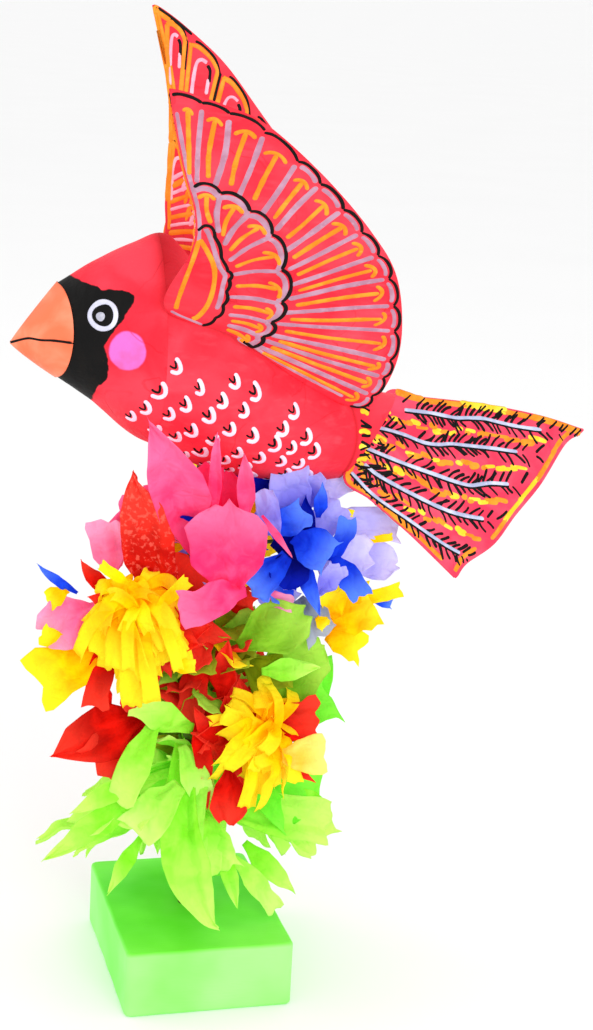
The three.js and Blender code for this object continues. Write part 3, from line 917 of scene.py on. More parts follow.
def inner_face_strokes(face):
    """The inner face: two tiers of rounded feathers in orange and pink, and a striped root."""
    board = RIGHT_WING
    add, rng = stroke_maker(face, 47)
    black, pink, orange = [], [], []
    t = np.linspace(0, 1, 11)
    for far, near, skip in ((1.0, 0.6, 1), (0.58, 0.36, 2)):
        edges = INNER_EDGES[::skip]
        for a, b in zip(edges[:-1], edges[1:]):
            across = a + (b - a) * t
            edge_gap = 1.2 if skip == 1 else 0
            rim = board.reach(FAN, across) * far - edge_gap - 5.5 * np.abs(2 * t - 1) ** 3
            base = float(board.reach(FAN, 0.5 * (a + b))) * near
            inset = 0.1 * (b - a)
            border = polar(across[1:-1], rim[1:-1] - 2.6)
            left = polar([a + inset, a + inset], [base, rim[0] - 5])
            right = polar([b - inset, b - inset], [rim[-1] - 5, base])
            add(orange, np.vstack([left, border, right]), 2.5, samples=60)
            add(black, polar(across[2:], rim[2:] - 0.4), 1.3, samples=30)
            add(black, polar([b, b, b], rim[-1] + 1 - np.array([0, 7, 15])), 1.5)
            inner = a + (b - a) * np.array([0.3, 0.27, 0.3, 0.42, 0.58])
            length = min(22.0, 0.25 * rim[5])
            reach = rim[5] - np.array([10 + length, 8 + 0.5 * length, 9.0, 6.4, 7.4])
            add(pink, polar(inner, reach), 2.0, samples=34)
            add(pink, polar(a + (b - a) * np.array([0.7, 0.72]), rim[5] - np.array([15, 23])), 2.0)
            inner = a + (b - a) * np.array([0.6, 0.7, 0.74])
            add(black, polar(inner, rim[5] - np.array([8.5, 11, 17])), 1.7)
    lead = board.outline[2:118]
    heights = np.linspace(14, 0.42 * board.outline[:, 1].max(), 13)
    starts = np.stack([np.interp(heights, lead[:, 1], lead[:, 0]), heights], -1)
    for k, start in enumerate(starts):
        lean = math.radians(8 + 3.4 * k)
        run = np.array([math.cos(lean), math.sin(lean)]) * (17 + rng.uniform(-2, 2))
        kind, width = (orange, 3.0) if k % 2 else (pink, 2.0)
        add(kind, [start + run * 0.12, start + run * 0.6 + (0, 0.5), start + run], width)
    add(orange, board.inset(24, 120, 7, 1.9), 2.2, samples=80)
    add(orange, board.inset(124, 158, 6, 2.8), 3.0)
    add(black, board.inset(128, 166, 6, 0.9), 1.5)
    return black, pink, orange


TAIL = Board(
    [81, -2, 297], [0.924, 0, -0.383], [0.325, 0.531, 0.782], 1.8, [50, 0],
    [[9, 29], [30, 34], [70, 46], [100, 52.5], [124, 55.5], [129, 56], [127, 52], [119, 42],
     [109, 14], [97, -10], [88, -30], [75, -46], [71, -55], [69, -56], [66, -55], [38, -43],
     [13, -34], [-5, -28], [2, 2]],
    8, 0, 0)
QUILLS = [
    [(20, 22), (36, 26.5), (50, 29.5), (66, 36), (86, 40), (116, 48)],
    [(4, 5), (19, 8), (38, 9), (50, 14), (63, 18), (79, 23), (105, 30)],
    [(3, -8), (23, -7.5), (45, -6), (66, -4), (78, 2), (99, 9)],
    [(4, -17), (15, -20), (40, -22), (62, -22), (88, -17)],
    [(-2, -24), (13, -31), (35, -36), (58, -41), (75, -43)],
]


def tail_strokes(board, side):
    """The tail: silver quills with swept black barbs, over broken yellow and orange bands."""
    add, rng = stroke_maker(board.side(side), 73)
    black, silver, orange, yellow = [], [], [], []
    quills = [spline(q, 60) for q in QUILLS]
    for q in quills:
        ahead, across = unit(np.gradient(q, axis=0)), sideways(q)
        add(silver, q[::6], 2.4, samples=70, height=0.62)
        # A black line beside each quill: a painted shadow of the quill, among the black strokes.
        add(black, q[::6] - across[::6] * 1.3, 1.3, samples=70, height=0.4)
        run = np.linalg.norm(np.diff(q, axis=0), axis=1).sum()
        for place in np.linspace(3, 58, int(run / 3.9)).astype(int):
            for way in (-1, 1):
                if rng.uniform() < 0.08:
                    continue
                start = q[place] + way * 0.9 * across[place]
                lean = math.radians(rng.uniform(34, 58)) * way
                turned = ahead[place] * math.cos(lean) + across[place] * math.sin(lean)
                length = rng.uniform(5.5, 9.5)
                far, edge = board.room(start + length * turned)
                length = max(2.0, min(length, length - (far - edge + 1.6)))
                bend = 0.1 * length * np.array([-turned[1], turned[0]]) * rng.uniform(-1, 1)
                add(black, [start, start + 0.5 * length * turned + bend, start + length * turned],
                    rng.uniform(1.3, 1.9), samples=10, ring=6, height=0.34)
    for upper, lower in zip(quills[:-1], quills[1:]):
        between = 0.5 * (upper + lower)
        for k in range(0, 55, 3):
            sway = rng.uniform(-2.4, 2.4, 2)
            kind = yellow if rng.uniform() < 0.35 else orange
            add(kind, [between[k] + sway, between[k + 2] + 0.8 * sway, between[k + 4] + 0.3 * sway],
                rng.uniform(2.2, 4.4), samples=12, height=0.16)
    for p, q in [(-1, 12), (-2, 3), (-3, -8), (-4, -16), (4, 19)]:
        add(yellow, [(p, q), (p + 4, q - 0.8), (p + 9, q - 2.5)], 2.9, samples=12, height=0.2)
        path = [(p + 2, q - 3), (p + 6, q - 3.2), (p + 10, q - 5.0)]
        add(black, path, 1.5, samples=12, height=0.3)
    # Bands along the edges: first and last outline point, depth and width. The far one is patchy.
    bands = ((4, 76, 2.3, 4.6), (132, 226, 3.6, 3.0), (286, 344, 2.2, 3.4))
    for first, last, depth, width in bands:
        for start in range(first, last, 13):
            if depth > 3 and rng.uniform() < 0.3:
                continue
            kind = orange if rng.uniform() < 0.8 else yellow
            path = board.inset(start, start + 17, 4, depth * rng.uniform(0.85, 1.25))
            add(kind, path, width * rng.uniform(0.8, 1.1), samples=20, height=0.16)
    for _ in range(22):
        start = np.array([rng.uniform(-2, 22), rng.uniform(-22, 29)])
        kind, width = (black, 1.6) if rng.uniform() < 0.7 else (orange, 2.6)
        turned = np.array([rng.uniform(3, 6), rng.uniform(-5, 1)])
        add(kind, [start, start + 0.5 * turned + rng.uniform(-0.4, 0.4, 2), start + turned], width,
            samples=10, ring=6, height=0.3)
    for start in board.inset(14, 92, 6, 0.8):
        path = [start, start + (-1.8, -3.0), start + (-4.0, -6.4)]
        add(black, path, 1.5, samples=8, ring=6, height=0.3)
    return black, silver, orange, yellow


# ---- tissue paper ----------------------------------------------------------------------------
def swell_to(u, place, root):
    """Rises smoothly from root at 0 to 1 at the place."""
    s = np.clip(u / place, 0, 1)
    return root + (1 - root) * s * s * (3 - 2 * s)


# Half width along a piece of tissue, for each kind of end.
END_SHAPES = {
    "round": lambda u: swell_to(u, 0.5, 0.2) * np.sqrt(1 - (np.clip(u - 0.5, 0, 1) / 0.53) ** 3),
    "point": lambda u: swell_to(u, 0.45, 0.3) * (1.02 - np.clip((u - 0.4) / 0.6, 0, 1) ** 1.4),
    "square": lambda u: swell_to(u, 0.45, 0.38),
    "leaf": lambda u: swell_to(u, 0.6, 0.5) * (1.02 - np.clip((u - 0.62) / 0.38, 0, 1) ** 1.3),
}
# The way that tissue faces when no facing is given, before it leans.
FRONT = np.array([-0.27, -0.93, 0.26])


def turned_to_front(place, rng):
    """The direction to the figure's front, leaning away from the post and a little at random."""
    away = unit(np.array([place[0], place[1] - 4, 14.0]))
    return unit(FRONT + 0.3 * away + rng.uniform(-0.25, 0.25, 3))


def facing_frame(facing):
    """The facing as a unit direction, a level one square to it, and a third square to both."""
    facing = unit(np.asarray(facing, float))
    level = unit(np.cross(facing, [0, 0, 1.0]))
    return facing, level, np.cross(level, facing)


def from_post(turn):
    """The level direction away from the post at a turn."""
    return np.array([math.cos(turn), math.sin(turn), 0])


def cut_edge(u, end, rng):
    """Half width at shares of the length: the end's shape, snipped straight between 7 corners."""
    corners = np.array([0, 0.14, 0.34, 0.55, 0.74, 0.9, 1])
    corners = corners + rng.uniform(-0.04, 0.04, 7) * (0, 1, 1, 1, 1, 1, 0)
    return np.interp(u, corners, END_SHAPES[end](corners) * rng.uniform(0.84, 1.14, 7))


def tissue(root, tip, width, end, seed, facing=None, via=None, cup=0.1, crumple=1.0, rows=34,
           columns=24):
    """One piece of tissue paper from a root to a tip.

    Its middle line is a quadratic curve by way of via. Each side is snipped by cut_edge, and the
    end by a zigzag. Pleats that spread from the root, small facets and soft lumps crumple it.
    """
    root, tip = np.asarray(root, float), np.asarray(tip, float)
    length = np.linalg.norm(tip - root)
    rng = np.random.default_rng(seed)
    facing = turned_to_front(tip, rng) if facing is None else unit(np.asarray(facing, float))
    if via is None:
        via = 0.5 * (root + tip) + facing * length * rng.uniform(0.06, 0.24)
    u = np.linspace(0, 1, rows)[:, None]
    v = np.linspace(-1, 1, columns)[None, :]
    line = (1 - u) ** 2 * root + 2 * u * (1 - u) * np.asarray(via, float) + u ** 2 * tip
    ahead = unit(np.gradient(line, axis=0))
    side = unit(np.cross(ahead, facing))
    face = np.cross(side, ahead)
    left, right = cut_edge(u, end, rng), cut_edge(u, end, rng)
    across = 0.5 * width * np.where(v < 0, left, right) * v
    teeth = np.interp(v, np.linspace(-1, 1, 6), rng.uniform(-1, 1, 6))
    zigzag = teeth * min(0.13 * width, 3.0)
    spread = np.stack([0.5 * width * v + 0 * u, 0.4 * length * u + 0 * v], -1)
    flat = np.stack([across, length * u + 0 * v], -1)
    pleats = 0.15 * width ** 0.86 * creases(spread, seed + 1, 0.5 * width + 3, 3)
    facets = min(0.85, 0.06 * width) * creases(flat, seed + 3, 12, 3)
    lumps = 0.05 * width * ripples(flat, seed + 2, 0.9 * width + 4)
    curl = 0.1 * width * rng.uniform(-1, 1) * (u ** 3) * v
    lift = cup * width * v ** 2 * (0.3 + 0.7 * u) + curl
    lift = lift + crumple * (pleats + facets + lumps) * np.clip(u / 0.12, 0.2, 1)
    points = (
        line[:, None, :] + across[..., None] * side[:, None, :] + lift[..., None] * face[:, None, :]
        + (zigzag * u ** 4)[..., None] * ahead[:, None, :])
    return patch(points, wrap=False, along=u + 0 * v, tone=float(rng.uniform()))


def fringe_head(centre, facing, radius, count, width, droop, seed):
    """A tuft of cut strips: each leaves the centre, arches out and falls back to a square end."""
    rng = np.random.default_rng(seed)
    centre = np.asarray(centre)
    facing, level, above = facing_frame(facing)
    strips = []
    for k in range(count):
        turn = k * GOLDEN_TURN + rng.uniform(-0.3, 0.3)
        spread = math.sqrt((k + 0.6) / count)
        out = unit(math.cos(turn) * level + math.sin(turn) * above + facing * (0.9 - 1.1 * spread))
        out = unit(out * (0.85, 0.85, 1.0) + rng.uniform(-0.3, 0.3, 3))
        reach = radius * rng.uniform(0.6, 1.22)
        root = centre + facing * rng.uniform(-2, 7) + rng.uniform(-7, 7, 3)
        arch = facing * reach * rng.uniform(0.35, 0.6) * (1.2 - 0.5 * spread)
        via = root + arch + out * reach * 0.55
        tip = centre + out * reach - (0, 0, droop * radius * rng.uniform(0.2, 1.7))
        strips.append(tissue(
            root, tip, width * rng.uniform(0.75, 1.35), "square",
            facing=facing + 0.4 * out + rng.uniform(-0.45, 0.45, 3), via=via, cup=0.12,
            crumple=1.1, seed=seed * 100 + k, rows=24, columns=9))
    return strips


def bloom(centre, facing, radius, petals, end, seed, spread=0.9):
    """A loose flower: two rings of petals that open round a facing direction."""
    rng = np.random.default_rng(seed)
    facing, level, above = facing_frame(facing)
    made = []
    for k in range(petals):
        turn = TURN * (k / petals * 2) + rng.uniform(-0.3, 0.3)
        open_out = spread * (1.0 if k % 2 else 0.65)
        out = unit(math.cos(turn) * level + math.sin(turn) * above + facing * (1.2 - open_out))
        reach = radius * rng.uniform(0.8, 1.12)
        root = np.asarray(centre) - facing * radius * 0.45
        tip = root + out * reach * 1.15
        via = root + facing * reach * 0.35 + out * reach * 0.4
        made.append(tissue(
            root, tip, radius * rng.uniform(0.85, 1.15), end, facing=facing - 0.35 * out, via=via,
            seed=seed * 50 + k, crumple=1.1))
    return made


# Each flower's own pieces of tissue: colour, root, tip, width, end shape, and sometimes a middle.
TISSUES = {
    "pink_flower": [
        ("pink", (-7, -18, 240), (-40, -40, 312), 33, "point"),
        ("pink", (-3, -30, 259), (-4, -34, 306), 8, "point"),
        ("pink", (13, -32, 259), (10, -34, 294), 11, "point"),
        ("pink", (4, -46, 227), (-2, -50, 273), 42, "round"),
        ("pink", (11, -46, 228), (-24, -56, 221), 19, "square"),
        ("pink", (18, -44, 265), (34, -46, 244), 4, "point"),
        # Pink tissue in its shade colour: painted shade in the flower's middle.
        ("magenta", (5, -16, 240), (5, -14, 281), 24, "round"),
        ("magenta", (-4, -12, 246), (-9, -22, 286), 21, "square"),
    ],
    "blue_flower": [
        ("blue", (39, -30, 250), (57, -40, 240), 20, "square"),
        ("blue", (42, -28, 239), (53, -36, 210), 11, "point"),
        ("blue", (61, -25, 235), (66, -32, 260), 11, "square"),
        ("blue", (62, -27, 238), (76, -34, 218), 12, "square"),
        ("blue", (53, -24, 258), (53, -28, 277), 8, "point"),
        ("navy", (29, -4, 265), (12, -8, 284), 13, "square"),
        ("navy", (28, -8, 258), (24, -8, 281), 12, "square"),
        ("blue", (35, -34, 241), (16, -38, 223), 17, "square"),
        ("navy", (37, -30, 245), (35, -36, 224), 22, "round"),
        ("navy", (47, -24, 242), (46, -24, 269), 11, "point"),
        ("blue", (28, -26, 250), (44, -32, 264), 15, "square"),
        ("navy", (32, -20, 240), (46, -24, 256), 18, "square"),
        ("blue", (44, -22, 226), (30, -26, 216), 14, "square"),
    ],
    "lilac_flower": [
        ("lilac", (42, -16, 250), (36, -22, 285), 21, "square"),
        ("lilac", (31, -26, 248), (22, -28, 274), 12, "square"),
        ("lilac", (47, -17, 260), (50, -20, 281), 15, "square"),
        ("lilac", (54, -28, 218), (62, -38, 237), 12, "square"),
        ("lilac", (22, -16, 222), (40, -26, 212), 15, "square"),
        ("pale_pink", (26, -22, 216), (40, -30, 214), 9, "square"),
        ("pale_lilac", (61, -8, 251), (102, -8, 249), 19, "square"),
        ("pale_lilac", (76, -6, 229), (101, -12, 229), 21, "round"),
        ("pale_lilac", (58, -12, 226), (86, -14, 238), 19, "square"),
        ("pale_lilac", (46, -10, 262), (76, -6, 276), 15, "square"),
        ("lilac", (20, -14, 250), (44, -18, 266), 20, "square"),
        ("lilac", (40, -14, 232), (66, -16, 262), 18, "square"),
        ("pale_pink", (60, 4, 270), (82, 4, 265), 9, "point"),
        ("grey_lilac", (46, -20, 213), (58, -28, 195), 19, "square"),
    ],
    "yellow_flower": [
        ("yellow", (68, -12, 258), (75, -14, 257), 4, "square"),
        ("yellow", (80, -12, 241), (97, -14, 244), 4, "square"),
        ("yellow", (66, -12, 197), (90, -18, 209), 23, "square"),
        ("yellow", (66, -10, 190), (84, -16, 183), 17, "square"),
        ("yellow", (75, -10, 208), (105, -10, 214), 8, "square"),
        ("yellow", (69, -18, 202), (62, -22, 219), 16, "square"),
        ("blue", (90, -10, 208), (101, -10, 206), 6, "square"),
        ("yellow", (55, -26, 205), (59, -30, 201), 7, "square"),
    ],
    "green_crumple": [
        ("green", (15, -22, 189), (47, -30, 209), 28, "round"),
        ("olive", (18, -20, 181), (45, -22, 161), 30, "round"),
        ("green", (25, -14, 156), (60, -22, 188), 36, "round"),
        ("lime", (27, -26, 176), (56, -32, 179), 13, "point"),
        ("bright_green", (34, -6, 146), (71, -4, 156), 34, "square"),
        ("bright_green", (60, 8, 117), (68, 10, 173), 18, "square"),
    ],
    "red_flower": [
        ("speckled_red", (-22, -18, 212), (-43, -26, 282), 30, "leaf", (-37, -30, 246)),
        ("red", (-27, -22, 214), (-12, -18, 234), 26, "square"),
        ("red", (-52, -20, 218), (-68, -20, 237), 10, "point"),
        ("red", (-44, -24, 214), (-64, -26, 219), 13, "point"),
        ("red", (-33, -24, 211), (-22, -16, 227), 30, "round"),
    ],
    "fringe_flower_1": [
        ("red", (-15, -24, 209), (3, -20, 189), 18, "square"),
        ("red", (-3, -14, 192), (-9, -22, 147), 15, "square"),
        ("yellow", (-48, -46, 232), (-62, -42, 241), 6, "square"),
        ("yellow", (-36, -50, 219), (-19, -48, 234), 7, "square"),
        ("yellow", (-26, -50, 189), (-14, -50, 189), 7, "square"),
        ("red", (-52, -20, 196), (-60, -26, 160), 14, "square"),
        ("red", (-30, -24, 190), (-40, -30, 158), 16, "square"),
    ],
    "left_yellow_flower": [
        ("yellow", (-60, -20, 188), (-90, -26, 174), 31, "square"),
        ("yellow", (-70, -18, 189), (-87, -20, 199), 10, "square"),
        ("yellow", (-73, -12, 219), (-83, -12, 213), 10, "square"),
    ],
    "pale_pink_flower": [
        ("pale_pink", (-55, -14, 210), (-85, -14, 196), 27, "round"),
        ("pale_pink", (-49, -4, 224), (-54, -8, 253), 18, "square"),
        ("blue", (-68, -12, 217), (-88, -10, 232), 6, "point"),
    ],
    "low_red_flower": [
        ("red", (-34, -20, 154), (-81, -26, 135), 32, "point"),
        ("red", (-31, -14, 146), (-58, -28, 128), 26, "square"),
        ("red", (-51, -18, 154), (-61, -20, 177), 12, "point"),
    ],
    "fringe_flower_2": [
        ("pale_yellow", (35, -46, 137), (55, -50, 139), 20, "square"),
        ("red", (36, -44, 148), (52, -48, 143), 3, "point"),
        ("red", (37, -44, 133), (53, -48, 122), 5, "point"),
        ("red", (21, -28, 149), (57, -34, 153), 22, "square"),
        ("red", (7, -22, 161), (9, -24, 193), 15, "point"),
        ("red", (-7, -30, 157), (-1, -36, 106), 11, "point"),
        ("red", (9, -40, 129), (7, -46, 103), 20, "round"),
        ("red", (2, -36, 142), (-9, -32, 160), 11, "point"),
    ],
}
# The lime leaves that show in front, in the same way.
LEAVES = [
    ("lime", (-8, -28, 147), (-40, -38, 165), 16, "square"),
    ("lime", (-29, -32, 153), (-48, -42, 114), 17, "square"),
    ("lime", (-41, -36, 124), (-72, -38, 108), 12, "point"),
    ("lime", (-36, -34, 114), (-85, -34, 81), 15, "point"),
    ("lime", (-34, -34, 92), (-52, -38, 62), 9, "point"),
    ("lime", (-26, -34, 100), (-26, -36, 82), 7, "point"),
    ("pale_lime", (-16, -38, 120), (-41, -46, 98), 21, "square"),
    ("lime", (-10, -22, 136), (3, -54, 48), 25, "leaf", (-26, -62, 80)),
    ("pale_lime", (-4, -34, 122), (-16, -44, 66), 15, "leaf"),
    ("lime", (-2, -26, 112), (-4, -40, 70), 20, "square"),
    ("bright_green", (2, -22, 104), (0, -34, 64), 16, "square"),
    ("pale_lime", (-14, -28, 138), (-3, -36, 109), 14, "square"),
    ("lime", (-5, -30, 103), (8, -38, 72), 20, "square"),
    ("lime", (9, -30, 83), (18, -36, 48), 10, "point"),
    ("pale_lime", (17, -26, 72), (41, -28, 41), 11, "square"),
    ("lime", (27, -10, 73), (55, -12, 43), 14, "point"),
    ("lime", (15, -12, 92), (74, -4, 77), 26, "square"),
    ("bright_green", (25, -2, 93), (72, 6, 99), 34, "square"),
    ("lime", (52, 4, 99), (74, 2, 65), 24, "square"),
    ("bright_green", (27, -14, 116), (46, -20, 82), 16, "point"),
]


def make_tissue(name, patches, finish, stands_for=()):
    make_piece(name, patches, finish, stands_for, wall=TISSUE_WALL)


def make_tissue_pieces(finishes):
    """The listed tissue of each flower, then the leaves, one piece for each colour."""
    seed = 500
    for flower, rows in {**TISSUES, "lime_leaves": LEAVES}.items():
        by_colour = {}
        for colour, root, tip, width, end, *via in rows:
            seed += 1
            via = via[0] if via else None
            made = tissue(root, tip, width, end, seed, via=via)
            by_colour.setdefault(colour, []).append(made)
        for number, (colour, patches) in enumerate(by_colour.items()):
            node = f"{flower}_petals"
            stands_for = (node,) if number == 0 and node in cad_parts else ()
            make_tissue(f"{flower}_{colour}_tissue", patches, finishes[colour], stands_for)


# Fringe heads: centre, facing, radius, number of strips, strip width and droop.
FRINGES = {
    "fringe_flower_1": ((-40, -31, 214), (-0.35, -0.72, 0.55), 26, 70, 7.6, 0.62),
    "fringe_flower_2": ((25, -30, 146), (0.4, -0.82, 0.3), 27, 60, 7.2, 0.25),
    "fringe_flower_3": ((-4, 36, 194), (-0.1, 0.85, 0.5), 31, 58, 7.6, 0.3),
}
# Flowers at the back: colour, centre, facing, radius, number of petals and end shape.
BLOOMS = [
    ("back_yellow_flower", "yellow", (22, 30, 250), (0.5, 0.8, 0.3), 30, 12, "square"),
    ("back_pink_flower", "pink", (-24, 26, 244), (-0.6, 0.75, 0.3), 30, 11, "round"),
    ("back_red_flower", "red", (34, 24, 142), (0.75, 0.62, -0.05), 30, 12, "point"),
]
# Red petals behind the fringe heads: centre, facing and radius.
RED_RUFFS = [
    ("fringe_flower_1", (-32, -30, 203), (-0.55, -0.82, 0.05), 27),
    ("fringe_flower_2", (18, -28, 143), (0.25, -0.95, 0.02), 26),
    ("fringe_flower_3", (-4, 32, 186), (-0.1, 0.99, 0.1), 30),
]
# Tissue close round the post, low to high: colour, lowest and highest root, count and width.
UNDERGROWTH = [
    ("lime", 96, 132, 16, 20), ("olive", 124, 200, 20, 20), ("red", 132, 214, 20, 19),
    ("green", 150, 196, 8, 24), ("pink", 214, 262, 9, 20), ("navy", 210, 262, 8, 18),
    ("lilac", 222, 262, 8, 18), ("yellow", 170, 240, 10, 16),
]


def make_undergrowth(finishes):
    """Crumpled tissue all round the post, between it and the flowers."""
    rng = np.random.default_rng(64)
    for colour, low, high, count, width in UNDERGROWTH:
        patches = []
        for k in range(count):
            out = from_post(k * GOLDEN_TURN + rng.uniform(-0.4, 0.4))
            height = low + (high - low) * (k + 0.5) / count
            root = out * 7.6 + (0, 0, height)
            tip = out * rng.uniform(24, 36) + (0, 0, height + rng.uniform(-16, 20))
            patches.append(tissue(
                root, tip, width * rng.uniform(0.8, 1.2), "square",
                facing=(0, 0, 1) + rng.uniform(-0.7, 0.7, 3) - 0.3 * out, crumple=1.3,
                seed=int(rng.integers(9999)), rows=24, columns=18))
        make_tissue(f"undergrowth_{colour}", patches, finishes[colour])


def make_round_flowers(finishes):
    """The fringe heads, the flowers at the back, and the red ruffs behind the fringe heads."""
    for number, (flower, shape) in enumerate(FRINGES.items()):
        strips = fringe_head(*shape, seed=11 + number)
        make_tissue(f"{flower}_strips", strips, finishes["yellow"], (f"{flower}_fringe",))
    for number, (flower, colour, *shape) in enumerate(BLOOMS):
        patches = bloom(*shape, seed=80 + number)
        make_tissue(f"{flower}_tissue", patches, finishes[colour], (f"{flower}_petals",))
    for number, (flower, *shape) in enumerate(RED_RUFFS):
        patches = bloom(*shape, 8, "point", seed=95 + number, spread=1.15)
        stands_for = (f"{flower}_petals",) if flower == "fringe_flower_3" else ()
        make_tissue(f"{flower}_ruff", patches, finishes["red"], stands_for)


# ---- block, post, back leaves and floor ------------------------------------------------------
BLOCK_SIZE = (89, 114, 36)
CORNER = 3.0
EDGE = 1.8
CORNER_POINTS = 9
POST_FOOT, POST_TOP, POST_RADIUS = 12, 312, 6.0
TAPE_RADIUS, TAPE_LAP, TAPE_PITCH = 6.75, 0.55, 9


def rounded_rectangle(width, depth, corner, count):
    """A closed outline: quarter circles at the corners, joined by straight sides, evenly spaced."""
    turn = np.linspace(0, TURN, 4 * CORNER_POINTS, endpoint=False) + TURN / (8 * CORNER_POINTS)
    arcs = np.stack([np.cos(turn), np.sin(turn)], -1)
    outline = arcs * corner + np.sign(arcs) * (np.array([width, depth]) / 2 - corner)
    loop = np.vstack([outline, outline[:1]])
    run = np.concatenate([[0], np.cumsum(np.linalg.norm(np.diff(loop, axis=0), axis=1))])
    at = np.linspace(0, run[-1], count, endpoint=False)
    return np.stack([np.interp(at, run, loop[:, 0]), np.interp(at, run, loop[:, 1])], -1)


def make_block(finish):
    """The block: rounded rectangles from the foot's middle, up the sides, to the top's middle."""
    width, depth, height = BLOCK_SIZE
    bend = np.linspace(0, math.pi / 2, 7)
    closing = np.linspace(1, 0, 26)
    inset = np.concatenate([EDGE * (1 - np.sin(bend)), np.zeros(14), EDGE * (1 - np.cos(bend))])
    z = np.concatenate([
        EDGE * (1 - np.cos(bend)), np.linspace(EDGE, height - EDGE, 16)[1:-1],
        height - EDGE + EDGE * np.sin(bend)])
    outline = rounded_rectangle(width, depth, CORNER, 240)
    half = np.array([width, depth]) / 2
    sides = outline * (1 - inset[:, None, None] / half)
    foot = sides[0] * (1 - closing[:-1, None, None])
    top = sides[-1] * closing[1:, None, None]
    plan = np.concatenate([foot, sides, top])
    level = np.concatenate([np.zeros(len(foot)), z, np.full(len(top), height)])
    points = np.concatenate([plan, np.broadcast_to(level[:, None, None], (*plan.shape[:2], 1))], -1)
    worn = 0.22 * ripples(points, 61, 26)
    points[..., :2] *= 1 + worn[..., None] / half * (level > 0)[:, None, None]
    dips = 0.3 * ripples(points, 62, 40) - 0.3
    points[..., 2] += np.where(level[:, None] > 0.6 * height, dips, 0)
    # Where the top's painted shade takes over, rising across the top's rounded edge.
    painted = np.clip((level[:, None] - height + EDGE) / EDGE, 0, 1) + 0 * points[..., 0]
    make_piece("painted_block", [patch(points, top=painted)], finish, ("base_block",))


def turned(levels, radii, wobble, seed):
    """A piece round the post's axis: rings of the given radii, closed at both ends."""
    turn = np.linspace(0, TURN, 64, endpoint=False)
    levels = np.concatenate([levels[:1], levels, levels[-1:]])
    radii = np.concatenate([[0], radii, [0]])
    levels, radii = levels[:, None], radii[:, None]
    points = np.stack([radii * np.cos(turn), radii * np.sin(turn), levels + 0 * turn], -1)
    points[..., :2] *= 1 + wobble * ripples(points, seed, 9)[..., None]
    return patch(points)


def make_post(wood, tape):
    """The dowel, and the paper tape wound round it in two runs with lapping turns."""
    levels = np.linspace(POST_FOOT, POST_TOP, 90)
    radii = np.full(len(levels), POST_RADIUS)
    make_piece("dowel", [turned(levels, radii, 0.004, 5)], wood, ("post_dowel",))
    wraps = (("lower_tape_wrap", 84, 122, 7), ("upper_tape_wrap", 132, 262, 8))
    for name, low, high, seed in wraps:
        levels = np.linspace(low, high, (high - low) * 3)
        radii = TAPE_RADIUS + TAPE_LAP * (np.mod(levels, TAPE_PITCH) / TAPE_PITCH)
        make_piece(f"{name}_turns", [turned(levels, radii, 0.02, seed)], tape, (name,))


# The leaves round the back: direction in degrees, reach and height of the tip, height of the root.
BACK_LEAVES = [
    (2, 66, 60, 92), (26, 60, 86, 104), (48, 62, 48, 92), (74, 56, 86, 116), (100, 60, 46, 92),
    (124, 58, 72, 104), (148, 66, 64, 92), (172, 58, 96, 116), (-168, 84, 78, 92),
    (-146, 70, 99, 116),
]


def make_back_leaves(finish, nodes):
    """Pairs of leaves round the back, in the place of the given nodes."""
    rng = np.random.default_rng(40)
    patches = []
    for degrees, reach, tip_z, root_z in BACK_LEAVES:
        for offset, share in ((-9, 1.0), (10, 0.86)):
            out = from_post(math.radians(degrees + offset))
            root = out * 8 + (0, 0, root_z)
            tip = out * reach * share + (0, 0, tip_z + rng.uniform(-5, 5))
            via = out * reach * 0.55 + (0, 0, 0.5 * (root_z + tip_z) + 12)
            patches.append(tissue(
                root, tip, rng.uniform(17, 26), ("point", "square")[rng.integers(2)],
                facing=out + (0, 0, 0.9), via=via, seed=int(rng.integers(9999))))
    make_tissue("back_leaves", patches, finish, nodes)


def make_floor():
    """A wide, pale, level floor."""
    far = 400
    mesh = bpy.data.meshes.new("floor")
    mesh.from_pydata(
        [(-far, -far, 0), (far, -far, 0), (far, far, 0), (-far, far, 0)], [], [(0, 1, 2, 3)])
    floor = bpy.data.objects.new("floor", mesh)
    bpy.context.scene.collection.objects.link(floor)
    made = Finish("pale floor", "")
    colour = made.blend(made.noise(3, 2), (0.93, 0.93, 0.93, 1), (0.96, 0.96, 0.96, 1))
    mesh.materials.append(made.show(made.shader(colour, 0.9)).material)


# ---- the making ------------------------------------------------------------------------------
# Each tissue's finish: its deep tone, which is painted shade in the creases and at the root, its
# light tone, and the tip's tone, which is painted light.
TISSUE_TONES = {
    "pink": ("F82E78", "FF6CA8", "FF88BA"),
    # Pink tissue in its shade colour: painted shade for the pink flower's middle.
    "magenta": ("E00040", "FF1056", "FF4480"),
    "blue": ("0A30D4", "2860FC", "6C9EFF"),
    "navy": ("000468", "0008A0", "0824C8"),
    "lilac": ("827CE8", "A8A4F8", "CCC8FC"),
    "pale_lilac": ("B4ACEE", "D6D0FA", "EAE6FF"),
    "pale_pink": ("F868A4", "FF9CCA", "FFBCDC"),
    "grey_lilac": ("8890A8", "A4ACBC", "C0C6D4"),
    "yellow": ("FFBE00", "FFEA00", "FFF630"),
    "pale_yellow": ("F8D030", "FFE870", "FFF490"),
    "green": ("70B014", "A4DC3C", "C4F060"),
    "olive": ("607000", "90A00C", "B4C830"),
    "bright_green": ("54DC14", "80F034", "A0FC54"),
    "lime": ("94EA2C", "C2FC5E", "E2FF86"),
    "pale_lime": ("A8EC4C", "CCFC6C", "E4FF94"),
    "red": ("B80400", "F81C0C", "FF4C38"),
    "speckled_red": ("CC0C08", "F83020", "FF5848"),
}
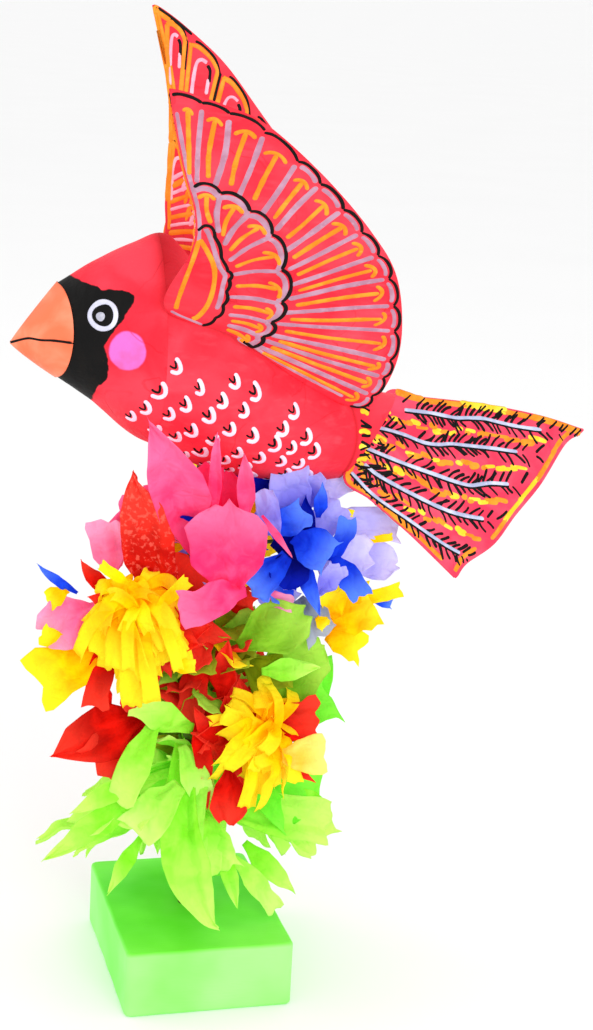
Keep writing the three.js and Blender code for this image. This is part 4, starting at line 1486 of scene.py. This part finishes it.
# The slots of the tissues whose slot isn't their own name with _tissue after it.
SHARED_SLOTS = {
    "magenta": "pink_tissue", "navy": "blue_tissue", "grey_lilac": "lilac_tissue",
    "pale_lilac": "lilac_tissue", "pale_yellow": "yellow_tissue", "olive": "green_tissue",
    "bright_green": "green_tissue", "pale_lime": "lime_tissue", "speckled_red": "red_tissue",
}

make_camera()
light_the_studio()
make_floor()

tissue_finishes = {
    colour: tissue_finish(f"{colour} tissue", SHARED_SLOTS.get(colour, f"{colour}_tissue"), *tones)
    for colour, tones in TISSUE_TONES.items()}
coral = coral_finish("coral paint", "coral_paper")
card = coral_finish("coral card", "painted_card")
tail_card = brushed_finish("tail card", "painted_card", "E83454", "F8506A")
ink = brushed_finish("black paint", "painted_card", "020101", "0A0706", 300, 0.5)
mauve = stroke_finish("mauve strokes", "painted_card", "B07C94", "C094AC", "D0ACC0")
orange = stroke_finish("orange strokes", "painted_card", "FF8410", "FF9C28", "FFB84C")
pale_pink = stroke_finish("pale pink strokes", "painted_card", "FFA8C0", "FFC8D8", "FFE0E8")
silver = stroke_finish("silver quills", "painted_card", "A8B0D0", "CCD4EC", "FFECF8")
yellow = stroke_finish("yellow strokes", "painted_card", "FFC820", "FFE040", "FFF080")
white = stroke_finish("white strokes", "coral_paper", "F0D4EC", "F8E4F6", "FFFFFF")
ring_white = stroke_finish("eye ring white", "coral_paper", "C8C8DC", "DEDEEE", "F8F8FF")
gleam = stroke_finish("eye gleam", "coral_paper", "A8A8B8", "C8C8D4", "E8E8F0")
tape = brushed_finish("stem tape", "stem_tape", "3E5A18", "64882C", 400, 0.7)
dowel_paint = brushed_finish("dowel paint", "post_wood", "2C2210", "4A3A1C", 300, 0.6)

make_head(head_finish())
make_body(coral)
make_beak(brushed_finish("beak paint", "beak_paint", "FC7650", "FF9270", 200, 0.4), ink)
make_eyes(ring_white, ink, gleam)
make_breast_marks(white, ink)
make_tail_root_dabs(yellow, ink)

make_board("left_wing_card", LEFT_WING, card, "left_wing")
make_board("right_wing_card", RIGHT_WING, card, "right_wing")
make_board("tail_card", TAIL, tail_card, "tail_fan")
wing_faces = {
    "left_wing_outer": (outer_face_strokes, LEFT_WING.side(1)),
    "left_wing_inner": (inner_face_strokes, LEFT_WING.side(-1, RIGHT_WING)),
    "right_wing_outer": (outer_face_strokes, RIGHT_WING.side(-1, LEFT_WING)),
    "right_wing_inner": (inner_face_strokes, RIGHT_WING.side(1)),
}
for name, (paint, face) in wing_faces.items():
    black_strokes, pale_strokes, orange_strokes = paint(face)
    make_piece(f"{name}_black", black_strokes, ink)
    make_piece(f"{name}_pale", pale_strokes, mauve if "outer" in name else pale_pink)
    make_piece(f"{name}_orange", orange_strokes, orange)
tail_paints = {"black": ink, "silver": silver, "orange": orange, "yellow": yellow}
for side, name in ((1, "top"), (-1, "under")):
    for (kind, finish), patches in zip(tail_paints.items(), tail_strokes(TAIL, side)):
        make_piece(f"tail_{name}_{kind}", patches, finish)

make_tissue_pieces(tissue_finishes)
make_round_flowers(tissue_finishes)
make_undergrowth(tissue_finishes)
leaf_nodes = [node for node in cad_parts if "_leaf_" in node]
make_back_leaves(tissue_finishes["lime"], leaf_nodes)
make_block(block_finish())
make_post(dowel_paint, tape)

newsprint = newsprint_finish()
for name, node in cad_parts.items():
    # Only the newspaper cores and the wire stems stay in view; the other nodes are replaced.
    finish = newsprint if name.endswith("_core") else tape
    for place in range(len(node.data.materials)):
        node.data.materials[place] = finish.material
